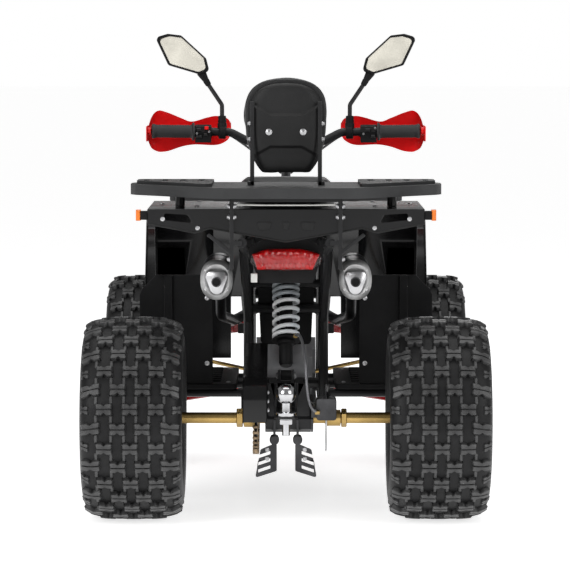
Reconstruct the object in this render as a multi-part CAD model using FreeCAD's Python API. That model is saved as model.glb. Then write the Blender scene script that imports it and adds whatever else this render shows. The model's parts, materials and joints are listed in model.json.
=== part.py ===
import FreeCAD, Part
import math
import os

# Quad bike in millimetres: +Y is forward, +X is the rider's right, +Z is up, and the floor is z = 0.

# Stance
overall_length = 1660.0
# The machine's length in equal steps; places along it are counted in steps from the middle
length_step_count = 1660
step = overall_length / length_step_count
wheelbase = step * 1100
rear_width = 1016.0
front_width = 1010.0
rear_tyre_diameter = 508.0
rear_tyre_width = 256.0
front_tyre_diameter = 533.0
front_tyre_width = 180.0
rim_diameter = 254.0
rear_axle_y = -wheelbase / 2
front_axle_y = wheelbase / 2
rear_axle_z = rear_tyre_diameter / 2
front_axle_z = front_tyre_diameter / 2
rear_wheel_x = (rear_width - rear_tyre_width) / 2
front_wheel_x = (front_width - front_tyre_width) / 2
rear_end_y = -overall_length / 2
front_end_y = overall_length / 2

# Clearances
seat_gap = 0.3
running_fit = 0.05
moving_gap = 5.0
overrun = 20.0

# Round forms are drawn in flats: so many round a bar, a wheel, a lamp or a ball, and a corner turns in steps
shaft_sides = 12
bar_sides = 8
small_sides = 6
wheel_sides = 16
lamp_sides = 12
ball_sides = 12
ball_flats = 4
chain_rear_count = 18
chain_front_count = 8
corner_step = math.radians(40)
flat_error = 1e-6

# Tyres and rims
rim_wall = 5.0
rim_lip = 9.0
rim_face = 8.0
hub_radius = 58.0
hub_flange = 10.0
front_hub_radius = 42.0
# (share of the tyre's depth, share of its half width), from the lower side wall to the crown
tyre_section_shares = ((0.32, 0.97), (0.62, 1.0), (0.9, 0.9), (1.0, 0.68))
bead_width_share = 0.76

# Frame
tube_radius = 12.5
bend_radius = 60.0
frame_half_width = 98.0
tail_half_width = 107.0
lower_rail_z = 215.0
upper_rail_z = 630.0
head_rail_z = 650.0
head_y = step * 240
front_upright_lead = 90.0
front_upright_y = front_axle_y + front_upright_lead
front_corner_z = 470.0
rear_upright_y = step * -200
tail_rail_y = step * -765
tail_rail_z = 706.0
strut_low_z = 470.0
strut_top_y = step * -520
cross_tube_radius = 11.0
upright_cross_heights = (500.0, 565.0)
shock_cross_y = step * -235
lug_thickness = 6.0

# Steering axis, from the bar clamp down to the lower bearing
clamp_y = step * 145
clamp_z = 880.0
stem_low_y = step * 428.25
stem_low_z = 282.6
stem_radius = 12.5
bearing_wall = 8.0
bearing_length = 34.0
pitman_reach = 70.0
pitman_thickness = 8.0
pitman_spread = 14.0

# Handlebar
bar_radius = 11.0
bar_flat = 55.0
bar_rise_x = 150.0
bar_rise = 52.0
bar_sweep = 30.0
bar_half_width = 362.0
bar_bend = 50.0
grip_radius = 18.0
grip_length = 115.0
grip_inner_x = 247.0
clamp_height = 40.0
clamp_width = 84.0
clamp_depth = 34.0
perch_length = 45.0
perch_width = 38.0
lever_thickness = 8.0
lever_reach = 52.0
lever_length = 150.0

# Hand guards: places are measured from the grip's axis
guard_outer_x = 376.0
guard_waist_x = 246.0
guard_inner_x = 147.0
guard_reach = 92.0
guard_wall = 4.0
guard_outer_top = 56.0
guard_outer_bottom = 59.0
guard_waist_top = 20.0
guard_waist_bottom = 40.0
guard_inner_top = 40.0
guard_inner_bottom = 40.0

# Mirrors
mirror_clamp_x = 172.0
mirror_foot_z = 995.0
mirror_neck_x = 208.0
mirror_neck_z = 1085.0
mirror_stem_radius = 5.0
mirror_boot_radius = 9.0
mirror_top_z = 1215.0
mirror_inner_x = 206.0
mirror_outer_x = 352.0
mirror_depth = 26.0
mirror_rim = 5.0
# (share of the head's width from the inner edge, share of its height from the bottom), going round
mirror_outline_shares = ((0.0, 0.09), (0.17, 0.0), (0.76, 0.23), (1.0, 0.91), (0.77, 1.0), (0.52, 0.96),
                         (0.06, 0.4))
mirror_height = 110.0

# Front suspension
kingpin_inset = 95.0
kingpin_x = front_wheel_x - kingpin_inset
knuckle_half_height = 88.0
knuckle_radius = 15.0
socket_half_height = 12.0
stud_radius = 6.0
spindle_radius = 11.0
spindle_reach = 32.0
knuckle_boss_length = 22.0
knuckle_boss_radius = 22.0
arm_tube_radius = 10.0
arm_half_base = 84.0
arm_pivot_x = 128.0
upper_arm_drop = 34.0
lower_arm_drop = 40.0
pivot_radius = 14.0
pivot_length = 34.0
front_shock_inset = 70.0
front_shock_low_x = kingpin_x - front_shock_inset
front_shock_top_x = 150.0
front_shock_top_z = 590.0
front_spring_radius = 27.0
front_spring_wire = 8.0
steer_arm_reach = pitman_reach
rod_pin_x = kingpin_x + pitman_spread
tie_rod_radius = 7.0
eye_radius = 12.0
eye_thickness = 12.0
rod_pin_radius = 5.0
rod_pin_clearance = 3.0
pin_collar = 6.0
# Room on the knuckle's pin for the outer eye, which climbs it toward full lock
rod_eye_rise = 13.0

# Rear suspension and drive
swing_pivot_y = step * -150
swing_pivot_z = 300.0
swing_arm_x = 34.0
swing_arm_width = 22.0
swing_arm_height = 44.0
carrier_radius = 36.0
carrier_left_x = -52.0
carrier_right_x = 62.0
shock_top_y = step * -268
shock_top_z = 622.0
shock_low_y = step * -400
shock_eye_rise = 91.0
shock_low_z = rear_axle_z + shock_eye_rise
rear_spring_radius = 36.5
rear_spring_wire = 11.0
shock_body_radius = 17.0
shock_eye_radius = 14.0
shock_eye_width = 28.0
axle_radius = 14.0
axle_hub_x = 326.0
chain_x = -75.0
chain_pitch_radius = 87.0
chain_roller_radius = 6.0
chain_width = 18.0
chain_gap = 1.5
sprocket_thickness = 6.0
engine_sprocket_y = step * -92
engine_sprocket_z = 300.0
engine_sprocket_radius = 34.0
output_shaft_radius = 9.8
axle_tooth_count = 36
engine_tooth_count = 13
tooth_height = 7.0
disc_x = 100.0
disc_radius = 84.0
disc_thickness = 4.0
vent_count = 6
vent_reach = 44.0
vent_radius = 12.0
caliper_width = 50.0
caliper_height = 54.0
caliper_depth = 62.0
guard_cover_left = 107.0
guard_cover_width = 60.0
guard_cover_gap = 10.0
guard_cover_wall = 2.5

# Hitch
hitch_left_x = -47.0
hitch_right_x = 60.0
hitch_plate_thickness = 6.0
hitch_plate_top_rise = 91.0
hitch_plate_top_z = rear_axle_z + hitch_plate_top_rise
hitch_plate_bottom_rise = 8.0
hitch_plate_bottom_z = rear_axle_z + hitch_plate_bottom_rise
tongue_half_width = 29.0
tongue_rise = 25.0
tongue_z = rear_axle_z + tongue_rise
ball_y = step * -775
ball_radius = 25.0
ball_rise = 84.0
ball_centre_z = rear_axle_z + ball_rise
ball_neck_radius = 13.0
ball_flange_radius = 26.0
ball_flange_thickness = 9.0
ball_shank_radius = 9.5
ball_shank_drop = 18.0
ball_shank_bottom_z = rear_axle_z - ball_shank_drop
ball_nut_radius = 17.0
ball_nut_height = 15.0
slot_plate_x = 50.0
slot_plate_top_drop = 58.0
slot_plate_top_z = rear_axle_z - slot_plate_top_drop
slot_plate_bottom_drop = 147.0
slot_plate_bottom_z = rear_axle_z - slot_plate_bottom_drop
slot_plate_width = 54.0
slot_plate_thickness = 4.0
slot_count = 3

# Engine
crankcase_half_width = 55.0
crankcase_rear_y = step * -120
crankcase_front_y = step * 175
crankcase_bottom_z = 224.0
crankcase_top_z = 400.0
side_cover_radius = 88.0
side_cover_depth = 24.0
crank_y = step * 75
crank_z = 312.0
barrel_tilt = 12.0
barrel_side = 104.0
barrel_fin = 16.0
fin_thickness = 5.0
fin_pitch = 18.0
fin_count = 9
barrel_radius = 42.0

# Exhausts
muffler_x = 172.0
muffler_z = 605.0
muffler_rear_y = step * -620
muffler_length = 300.0
muffler_width = 78.0
muffler_height = 97.0
muffler_cap = 26.0
muffler_lip = 3.0
outlet_radius = 12.5
outlet_length = 14.0
outlet_wall = 2.0
pipe_radius = 14.0
outlet_drop = 4.0
oval_sides = 12
cap_rim_share = 0.82

# Rear fender and splash panels
fender_half_width = 337.0
fender_top_z = 788.0
fender_wall = 3.5
fender_rear_y = step * -760
fender_inner_x = 187.0
fender_front_y = step * -300
flap_y = step * -236
flap_low_z = 592.0
valance_outer_z = 751.0
valance_inner_z = 730.0
valance_centre_z = 707.0
deck_front_y = step * -375
deck_bend = 34.0
splash_inner_x = 190.0
splash_outer_x = 380.0

# Footboards
board_inner_x = 128.0
board_outer_x = 430.0
board_rear_y = step * -240
board_front_y = step * 196
board_z = 292.0
board_thickness = 14.0
board_rib = 6.0
board_rib_count = 7
side_bar_radius = 11.0
splash_low_z = board_z + board_thickness + seat_gap

# Rear rack
rack_half_width = 385.0
rack_centre_half_width = 165.0
rack_top_z = 850.0
rack_depth = 34.0
rack_wall = 5.0
rack_front_y = step * -480
rack_side_rear_y = step * -610
rack_raise = 8.0
rack_raised_x = 180.0
rack_slot_count = 4
support_x = 132.0
support_width = 12.0
support_thickness = 10.0
support_y = step * -767
support_bottom_z = 640.0

# Backrest
backrest_y = step * -655
backrest_bottom_z = 862.0
backrest_top_z = 1112.0
backrest_half_width = 109.0
backrest_shell_depth = 22.0
backrest_pad_depth = 52.0
backrest_bevel = 16.0
backrest_bar_x = 78.0

# Seat
seat_front_y = step * 95
seat_rear_y = step * -450
seat_half_width = 132.0
seat_base_z = 716.0
seat_low_z = 800.0
seat_rear_z = 852.0

# Lamps
tail_light_z = 664.0
tail_light_width = 164.0
tail_light_height = 50.0
tail_light_depth = 40.0
tail_light_y = step * -752
indicator_y = step * -735
indicator_z = 773.0
indicator_radius = 14.0
indicator_x = fender_half_width + indicator_radius + seat_gap
indicator_depth = 30.0
headlight_x = 92.0
headlight_z = 628.0
headlight_radius = 48.0
headlight_depth = 50.0
headlight_rim = 16.0
lamp_bowl_share = 0.7
lamp_face_share = 0.75

# Front bodywork
front_fender_half_width = 385.0
front_fender_inner_x = 150.0
arch_rear_y = step * 206
arch_low_z = 330.0
arch_knee_z = 500.0
arch_top_z = 704.0
arch_rear_top_y = step * 330
arch_front_top_y = step * 650
arch_front_y = step * 800
arch_front_z = 610.0
arch_lip = 26.0
cover_half_width = 108.0
cover_top_z = 812.0
cover_rear_y = step * 100
cover_mid_y = step * 385
cover_mid_top_z = 744.0
cover_side_z = 668.0
cover_nose_z = 712.0
cover_wall = 4.0
cover_shoulder_share = 0.6
cover_waist_share = 0.86
cover_nose_share = 0.9
nose_half_width = front_fender_inner_x - seat_gap
nose_y = step * 742
nose_low_z = 470.0
nose_top_z = 712.0
slat_count = 5

# Front rack
front_rack_half_width = 325.0
front_rack_rear_y = step * 392
front_rack_front_y = step * 800
front_rack_top_z = 784.0
front_rack_slot_count = 5

# Bumper
bumper_half_width = 128.0
bumper_foot_share = 0.8
bumper_low_z = 268.0
bumper_top_z = 560.0
bumper_radius = 12.5

origin = FreeCAD.Vector(0, 0, 0)
across = FreeCAD.Vector(1, 0, 0)
along = FreeCAD.Vector(0, 1, 0)
upward = FreeCAD.Vector(0, 0, 1)


def point(x, y, z):
    return FreeCAD.Vector(x, y, z)


def mirrored(shape):
    return shape.mirror(origin, across)


def both_sides(shapes):
    """The right-hand shapes and their mirror images on the left."""
    return list(shapes) + [mirrored(shape) for shape in shapes]


def joined(shapes):
    """One clean solid from shapes that meet or cross."""
    return shapes[0].multiFuse(shapes[1:]).removeSplitter()


def slab(x_low, x_high, y_low, y_high, z_low, z_high):
    return Part.makeBox(x_high - x_low, y_high - y_low, z_high - z_low, point(x_low, y_low, z_low))


def ring_points(centre, axis, radius, sides):
    """Corners of a regular outline round an axis."""
    aside = min((across, along, upward), key=lambda way: abs(axis.dot(way)))
    first = axis.cross(aside).normalize()
    second = axis.cross(first)
    angles = [2 * math.pi * index / sides for index in range(sides)]
    return [centre + (first * math.cos(angle) + second * math.sin(angle)) * radius for angle in angles]


def distinct(corners):
    """The corners without those that repeat the one before."""
    pairs = zip(corners, corners[-1:] + corners[:-1])
    return [corner for corner, before in pairs if (corner - before).Length > flat_error]


def panel(corners):
    """One flat face through the corners, or two where they are not in one plane."""
    kept = distinct(corners)
    if len(kept) < 3:
        return []
    normal = (kept[1] - kept[0]).cross(kept[2] - kept[0]).normalize()
    if abs((kept[-1] - kept[0]).dot(normal)) < flat_error:
        return [Part.Face(Part.makePolygon(kept + kept[:1]))]
    halves = (kept[:3], [kept[0], kept[2], kept[3]])
    return [Part.Face(Part.makePolygon(half + half[:1])) for half in halves]


def skin(rings, lids=True):
    """A solid in flat panels through rings of corners, with lids or closed on itself."""
    faces = []
    if lids:
        faces += [Part.Face(Part.makePolygon(ring + ring[:1])) for ring in (rings[0], rings[-1])]
    pairs = zip(rings, rings[1:]) if lids else zip(rings, rings[1:] + rings[:1])
    for near, far in pairs:
        for index in range(len(near)):
            after = (index + 1) % len(near)
            faces += panel([near[index], near[after], far[after], far[index]])
    solid = Part.makeSolid(Part.makeShell(faces))
    if solid.Volume < 0:
        solid.reverse()
    return solid


def bar(start, end, radius, sides=None):
    """A straight bar drawn with flats; its corners lie at the radius."""
    ring = ring_points(start, (end - start).normalize(), radius, sides or bar_sides)
    return Part.Face(Part.makePolygon(ring + ring[:1])).extrude(end - start)


def bar_across(x_low, x_high, y, z, radius, sides=None):
    return bar(point(x_low, y, z), point(x_high, y, z), radius, sides)


def hole_radius(radius, sides=None):
    """Radius of a hole with flats that clears a bar of the given radius, however it is turned."""
    return radius / math.cos(math.pi / (sides or bar_sides))


def shaft(start, end, radius):
    """A bar that turns in a fit."""
    return bar(start, end, radius, shaft_sides)


def shaft_hole(start, end, radius):
    """The hole in which a shaft of the given radius turns."""
    return bar(start, end, hole_radius(radius + running_fit, shaft_sides), shaft_sides)


def shaft_across(x_low, x_high, y, z, radius):
    return shaft(point(x_low, y, z), point(x_high, y, z), radius)


def shaft_hole_across(x_low, x_high, y, z, radius):
    return shaft_hole(point(x_low, y, z), point(x_high, y, z), radius)


def tube(start, end, radius, wall):
    return bar(start, end, radius).cut(bar(start, end, radius - wall))


def arc_points(before, corner, after, radius):
    """The corner as short flats along a rounding; a slight corner stays as it is."""
    back = (before - corner).normalize()
    ahead = (after - corner).normalize()
    half_angle = back.getAngle(ahead) / 2
    flats = round((math.pi - half_angle * 2) / corner_step)
    if flats == 0 or radius <= 0:
        return [corner]
    length = min(radius / math.tan(half_angle), (before - corner).Length / 2, (after - corner).Length / 2)
    centre = corner + (back + ahead).normalize() * (length / math.cos(half_angle))
    spoke = corner + back * length - centre
    normal = ahead.cross(back)
    turn = math.degrees(math.pi - half_angle * 2) / flats
    return [centre + FreeCAD.Rotation(normal, turn * index).multVec(spoke) for index in range(flats + 1)]


def rounded_path(points, bend):
    """An open line with each inner corner turned in flats."""
    path = points[:1]
    for before, corner, after in zip(points, points[1:], points[2:]):
        path += arc_points(before, corner, after, bend)
    return path + points[-1:]


def bent_bar(points, radius, bend, sides=None):
    """A bar through the points, mitred at each flat of its bends."""
    path = rounded_path(points, bend)
    ring = ring_points(path[0], (path[1] - path[0]).normalize(), radius, sides or bar_sides)
    rings = [ring]
    for index in range(1, len(path)):
        way = (path[index] - path[index - 1]).normalize()
        onward = (path[index + 1] - path[index]).normalize() if index + 1 < len(path) else way
        cut = (way + onward).normalize()
        ring = [corner + way * ((path[index] - corner).dot(cut) / way.dot(cut)) for corner in ring]
        rings.append(ring)
    return skin(rings)


def rounded_outline(corners, radius):
    """The corners with their roundings; radius may be one value or one for each corner."""
    count = len(corners)
    radii = radius if isinstance(radius, (list, tuple)) else [radius] * count
    outline = []
    for index, corner in enumerate(corners):
        outline += arc_points(corners[index - 1], corner, corners[(index + 1) % count], radii[index])
    return distinct(outline)


def rounded_face(corners, radius):
    outline = rounded_outline(corners, radius)
    return Part.Face(Part.makePolygon(outline + outline[:1]))


def side_plate(outline, radius, x_low, x_high):
    """A (y, z) outline carried across the machine from x_low to x_high."""
    face = rounded_face([point(x_low, y, z) for y, z in outline], radius)
    return face.extrude(point(x_high - x_low, 0, 0))


def flat_plate(outline, radius, z_low, z_high):
    """An (x, y) outline carried upward from z_low to z_high."""
    face = rounded_face([point(x, y, z_low) for x, y in outline], radius)
    return face.extrude(point(0, 0, z_high - z_low))


def cross_plate(outline, radius, y_low, y_high):
    """An (x, z) outline carried along the machine from y_low to y_high."""
    face = rounded_face([point(x, y_low, z) for x, z in outline], radius)
    return face.extrude(point(0, y_high - y_low, 0))


def bent_sheet(outline, bend, wall, x_low, x_high):
    """A sheet of one thickness along an open (y, z) line, carried from x_low to x_high."""
    path = rounded_path([point(x_low, y, z) for y, z in outline], bend)
    inner = []
    for index, place in enumerate(path):
        way = (place - path[index - 1]).normalize() if index > 0 else (path[1] - place).normalize()
        onward = (path[index + 1] - place).normalize() if index + 1 < len(path) else way
        cut = (way + onward).normalize()
        inner.append(place + cut.cross(across) * (wall / way.dot(cut)))
    strip = Part.Face(Part.makePolygon(path + inner[::-1] + path[:1]))
    return strip.extrude(point(x_high - x_low, 0, 0))


def turned(profile, centre, axis, sides):
    """A closed (distance along the axis, radius) profile turned about the axis in flats."""
    rings = []
    for spoke in ring_points(origin, axis, 1, sides):
        rings.append([centre + axis * distance + spoke * radius for distance, radius in profile])
    return skin(rings, lids=False)


def steer_point(height):
    """The place on the steering axis at a height."""
    return point(0, clamp_y + (clamp_z - height) * (stem_low_y - clamp_y) / (clamp_z - stem_low_z), height)


steer_axis = (point(0, clamp_y, clamp_z) - point(0, stem_low_y, stem_low_z)).normalize()
steer_forward = across.cross(steer_axis) * -1


def tail_rail_height(y):
    """Height of the rear upper rail's axis at a place along the machine."""
    share = (rear_upright_y - y) / (rear_upright_y - tail_rail_y)
    return upper_rail_z + (tail_rail_z - upper_rail_z) * share


def front_rail_height(y):
    """Height of the upper rail's axis between the steering head and the front upright."""
    share = (front_upright_y - y) / (front_upright_y - head_y)
    return front_corner_z + (head_rail_z - front_corner_z) * share


def frame():
    """Twin rails, uprights, tail struts, cross tubes, bearings and brackets, welded into one."""
    side = frame_half_width
    main_rail = bent_bar([point(side, front_upright_y, lower_rail_z),
                          point(side, front_upright_y, front_corner_z),
                          point(side, head_y, head_rail_z),
                          point(side, rear_upright_y, upper_rail_z),
                          point(tail_half_width, tail_rail_y, tail_rail_z)], tube_radius, bend_radius)
    lower_rail = bent_bar([point(side, front_upright_y, lower_rail_z),
                           point(side, rear_upright_y, lower_rail_z),
                           point(side, rear_upright_y, upper_rail_z)], tube_radius, bend_radius)
    strut = bar(point(side, rear_upright_y, strut_low_z),
                point(tail_half_width, strut_top_y, tail_rail_height(strut_top_y)), cross_tube_radius)
    pieces = both_sides([main_rail, lower_rail, strut])
    cross_places = [(front_upright_y, lower_rail_z), (front_upright_y, front_corner_z),
                    (head_y, head_rail_z),
                    (swing_pivot_y, lower_rail_z), (shock_cross_y, tail_rail_height(shock_cross_y)),
                    (strut_top_y, tail_rail_height(strut_top_y)),
                    (front_axle_y - tube_radius, lower_rail_z)]
    cross_places += [(rear_upright_y, height) for height in upright_cross_heights]
    pieces += [bar_across(-side, side, y, z, cross_tube_radius) for y, z in cross_places]
    pieces += steering_bearings()
    pieces += arm_brackets()
    pieces += shock_mounts()
    pieces += swing_pivot()
    bore = shaft_hole(steer_point(stem_low_z - overrun), steer_point(head_rail_z + overrun * 2),
                      stem_radius)
    return joined(pieces).cut(bore)


def steering_bearings():
    """The upper bearing on the head tube and the lower one on a bracket between the lower rails."""
    sleeves = []
    for height in (head_rail_z, stem_low_z + bearing_length):
        start = steer_point(height) - steer_axis * bearing_length / 2
        sleeve = bar(start, start + steer_axis * bearing_length, stem_radius + bearing_wall)
        sleeves.append(sleeve)
    low = steer_point(stem_low_z + bearing_length)
    post_half = bearing_length / 2
    foot_y = front_axle_y - tube_radius
    post = side_plate([(low.y + stem_radius, low.z), (low.y + stem_radius, low.z + post_half),
                       (foot_y + tube_radius, lower_rail_z), (foot_y - tube_radius, lower_rail_z)],
                      0, -lug_thickness, lug_thickness)
    return sleeves + [post]


def arm_brackets():
    """Bracket plates for the front arms, with the hoops and shock towers behind and above them."""
    pieces = []
    for arm_z in (upper_pivot_z(), lower_pivot_z()):
        for end in (-1, 1):
            middle = front_axle_y + end * arm_half_base
            start = middle - lug_thickness / 2
            pieces.append(slab(frame_half_width, arm_pivot_x + pivot_radius / 2, start,
                               start + lug_thickness,
                               arm_z - pivot_radius, arm_z + pivot_radius))
    hoop_y = front_axle_y - arm_half_base
    hoop = bar(point(frame_half_width, hoop_y, lower_rail_z),
               point(frame_half_width, hoop_y, upper_pivot_z() + pivot_radius), cross_tube_radius)
    hoop_top = bar(point(frame_half_width, hoop_y, upper_pivot_z() + pivot_radius),
                   point(frame_half_width, head_y + bend_radius, head_rail_z - bend_radius / 2),
                   cross_tube_radius)
    tower = side_plate([(front_axle_y - pivot_length, front_rail_height(front_axle_y - pivot_length)),
                        (front_axle_y + pivot_length, front_rail_height(front_axle_y + pivot_length)),
                        (front_axle_y + pivot_length / 2, front_shock_top_z + pivot_radius),
                        (front_axle_y - pivot_length / 2, front_shock_top_z + pivot_radius)],
                       [0, 0, pivot_radius / 2, pivot_radius / 2], frame_half_width - tube_radius,
                       frame_half_width)
    ear = cross_plate([(frame_half_width - tube_radius, front_shock_top_z - pivot_radius),
                       (front_shock_top_x, front_shock_top_z - pivot_radius),
                       (front_shock_top_x, front_shock_top_z + pivot_radius),
                       (frame_half_width - tube_radius, front_shock_top_z + pivot_radius)], 0,
                      front_axle_y - shock_eye_width / 2 - lug_thickness,
                      front_axle_y - shock_eye_width / 2)
    second_ear = ear.translated(point(0, shock_eye_width + lug_thickness, 0))
    return both_sides(pieces + [hoop, hoop_top, joined([tower, ear, second_ear])])


def shock_mounts():
    """Two ears under the cross tube hold the rear shock's upper eye."""
    z = tail_rail_height(shock_cross_y)
    half = shock_eye_width / 2
    ear = side_plate([(shock_cross_y + cross_tube_radius, z), (shock_top_y - shock_eye_radius, z),
                      (shock_top_y - shock_eye_radius, shock_top_z - shock_eye_radius),
                      (shock_top_y + shock_eye_radius, shock_top_z - shock_eye_radius)], 0,
                     half + seat_gap, half + seat_gap + lug_thickness)
    return both_sides([ear])


def swing_pivot():
    """Pivot plates behind the uprights carry the swingarm's bolt."""
    plate = side_plate([(rear_upright_y, swing_pivot_z - pivot_radius * 2),
                        (swing_pivot_y + pivot_radius, swing_pivot_z - pivot_radius),
                        (swing_pivot_y + pivot_radius, swing_pivot_z + pivot_radius),
                        (rear_upright_y, swing_pivot_z + pivot_radius * 2)], 0,
                       frame_half_width - lug_thickness / 2, frame_half_width + lug_thickness / 2)
    return both_sides([plate])


def upper_pivot_z():
    return front_axle_z + knuckle_half_height + upper_arm_drop


def lower_pivot_z():
    return front_axle_z - knuckle_half_height + lower_arm_drop


def front_arms():
    """Upper and lower A-arms of both sides, each with its two pivot tubes and ball socket."""
    arms = []
    for level, pivot_z in ((1, upper_pivot_z()), (-1, lower_pivot_z())):
        ball_z = front_axle_z + level * knuckle_half_height
        socket = point(kingpin_x, front_axle_y, ball_z)
        pieces = [bar(socket - upward * socket_half_height, socket + upward * socket_half_height,
                      knuckle_radius + arm_tube_radius / 2)]
        for end in (-1, 1):
            pivot_y = front_axle_y + end * arm_half_base
            outer = point(arm_pivot_x, pivot_y, pivot_z)
            pieces.append(bar(outer, socket, arm_tube_radius))
            centre = point(arm_pivot_x, pivot_y - end * (lug_thickness / 2 + seat_gap), pivot_z)
            pieces.append(bar(centre, centre - along * end * pivot_length, pivot_radius))
        tie_share = 0.12 if level > 0 else 0.4
        tie_x = arm_pivot_x + (kingpin_x - arm_pivot_x) * tie_share
        tie_z = pivot_z + (ball_z - pivot_z) * tie_share
        tie_y = arm_half_base * (1 - tie_share)
        pieces.append(bar(point(tie_x, front_axle_y - tie_y, tie_z),
                          point(tie_x, front_axle_y + tie_y, tie_z),
                          arm_tube_radius * 0.8))
        arm = joined(pieces)
        for end in (-1, 1):
            bracket_y = front_axle_y + end * arm_half_base
            near = bracket_y - end * (lug_thickness / 2 + seat_gap)
            far = bracket_y + end * (lug_thickness + arm_tube_radius * 2)
            arm = arm.cut(slab(0, arm_pivot_x + arm_tube_radius * 2, min(near, far), max(near, far),
                               pivot_z - pivot_radius * 2, pivot_z + pivot_radius * 2))
        arms.append(arm)
    return both_sides(arms)


def front_shock_ends():
    low_share = (front_shock_low_x - arm_pivot_x) / (kingpin_x - arm_pivot_x)
    ball_z = front_axle_z - knuckle_half_height
    low_z = lower_pivot_z() + (ball_z - lower_pivot_z()) * low_share
    low = point(front_shock_low_x, front_axle_y,
                low_z + arm_tube_radius + shock_eye_radius + arm_tube_radius)
    return low, point(front_shock_top_x, front_axle_y, front_shock_top_z)


def front_shocks():
    """Damper bodies of the two front coil-overs."""
    low, top = front_shock_ends()
    axis = (top - low).normalize()
    eye_half = along * (shock_eye_width / 2 - seat_gap)
    pieces = [bar(low - eye_half, low + eye_half, shock_eye_radius),
              bar(top - eye_half, top + eye_half, shock_eye_radius),
              bar(low, top, shock_body_radius / 2),
              bar(low + axis * shock_eye_radius * 2, low + axis * (top - low).Length / 2,
                  shock_body_radius * 0.9),
              bar(low + axis * shock_eye_radius * 2, low + axis * (shock_eye_radius * 2 + lug_thickness),
                  front_spring_radius),
              bar(top - axis * (shock_eye_radius * 2 + lug_thickness), top - axis * shock_eye_radius * 2,
                  front_spring_radius)]
    foot_gap = arm_tube_radius * 1.5
    bracket = cross_plate([(low.x - shock_eye_radius, low.z - shock_eye_radius - foot_gap),
                           (low.x + shock_eye_radius, low.z - shock_eye_radius - foot_gap),
                           (low.x + shock_eye_radius, low.z), (low.x - shock_eye_radius, low.z)],
                          0, front_axle_y - shock_eye_width / 2, front_axle_y + shock_eye_width / 2)
    return both_sides([joined(pieces + [bracket])])


def front_springs():
    """The two front springs, seated between their collars."""
    low, top = front_shock_ends()
    axis = (top - low).normalize()
    end_room = shock_eye_radius * 2 + lug_thickness + seat_gap
    return both_sides([tube(low + axis * end_room, top - axis * end_room, front_spring_radius,
                            front_spring_wire)])


def rear_shock_ends():
    return point(0, shock_low_y, shock_low_z), point(0, shock_top_y, shock_top_z)


def rear_shock():
    """Damper with eyes, rod and the two spring collars."""
    low, top = rear_shock_ends()
    axis = (top - low).normalize()
    length = (top - low).Length
    eye_half = across * (shock_eye_width / 2)
    collar = shock_eye_radius * 1.6
    pieces = [bar(low - eye_half, low + eye_half, shock_eye_radius),
              bar(top - eye_half, top + eye_half, shock_eye_radius),
              bar(low, low + axis * length * 0.2, shock_body_radius / 2),
              bar(low + axis * shock_eye_radius * 2, low + axis * length * 0.62, shock_body_radius),
              bar(low + axis * length * 0.6, top, shock_body_radius / 2),
              bar(low + axis * length * 0.3, low + axis * (length * 0.3 + lug_thickness),
                  rear_spring_radius),
              bar(top - axis * (collar + lug_thickness), top - axis * collar, rear_spring_radius)]
    return joined(pieces)


def rear_spring():
    """The spring on the upper two thirds of the rear shock."""
    low, top = rear_shock_ends()
    axis = (top - low).normalize()
    length = (top - low).Length
    collar = shock_eye_radius * 1.6
    return tube(low + axis * (length * 0.3 + lug_thickness + seat_gap),
                top - axis * (collar + lug_thickness + seat_gap), rear_spring_radius, rear_spring_wire)


def swingarm():
    """Pivot tube, two arms, cross plate with shock ears, and the carrier tube round the axle."""
    pivot_half = frame_half_width - lug_thickness / 2 - seat_gap
    pieces = [bar_across(-pivot_half, pivot_half, swing_pivot_y, swing_pivot_z, pivot_radius),
              bar_across(carrier_left_x, carrier_right_x, rear_axle_y, rear_axle_z, carrier_radius)]
    half = swing_arm_height / 2
    arm = side_plate([(swing_pivot_y, swing_pivot_z - half * 0.6),
                      (swing_pivot_y, swing_pivot_z + half * 0.6),
                      (rear_axle_y, rear_axle_z + half * 1.4), (rear_axle_y, rear_axle_z - half * 1.4)], 0,
                     swing_arm_x - swing_arm_width / 2, swing_arm_x + swing_arm_width / 2)
    pieces += both_sides([arm])
    share = (shock_low_y - swing_pivot_y) / (rear_axle_y - swing_pivot_y)
    arm_z = swing_pivot_z + (rear_axle_z - swing_pivot_z) * share
    pieces.append(slab(-swing_arm_x, swing_arm_x, shock_low_y - half, shock_low_y + half, arm_z - half / 2,
                       arm_z + half))
    ear_inner = shock_eye_width / 2 + seat_gap
    ear = side_plate([(shock_low_y - half, arm_z + half / 2), (shock_low_y + half, arm_z + half / 2),
                      (shock_low_y + shock_eye_radius, shock_low_z + shock_eye_radius),
                      (shock_low_y - shock_eye_radius, shock_low_z + shock_eye_radius)], 0,
                     ear_inner, ear_inner + lug_thickness)
    pieces += both_sides([ear])
    return joined(pieces).cut(shaft_hole_across(carrier_left_x - overrun, carrier_right_x + overrun,
                                                rear_axle_y, rear_axle_z, axle_radius))


def rear_axle():
    """Solid shaft with the sprocket and disc carriers and a wheel flange at each end."""
    disc_face = disc_x + disc_thickness / 2
    pieces = [shaft_across(-axle_hub_x, axle_hub_x, rear_axle_y, rear_axle_z, axle_radius),
              bar_across(chain_x - sprocket_thickness * 5, chain_x - sprocket_thickness / 2,
                         rear_axle_y, rear_axle_z, axle_radius * 1.7),
              bar_across(disc_face, disc_face + caliper_width * 0.7, rear_axle_y, rear_axle_z,
                         axle_radius * 1.5)]
    flange = bar_across(axle_hub_x - hub_flange, axle_hub_x, rear_axle_y, rear_axle_z, hub_radius)
    boss = bar_across(axle_hub_x - hub_flange * 4, axle_hub_x, rear_axle_y, rear_axle_z, axle_radius * 1.8)
    return joined(pieces + both_sides([flange, boss]))


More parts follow.
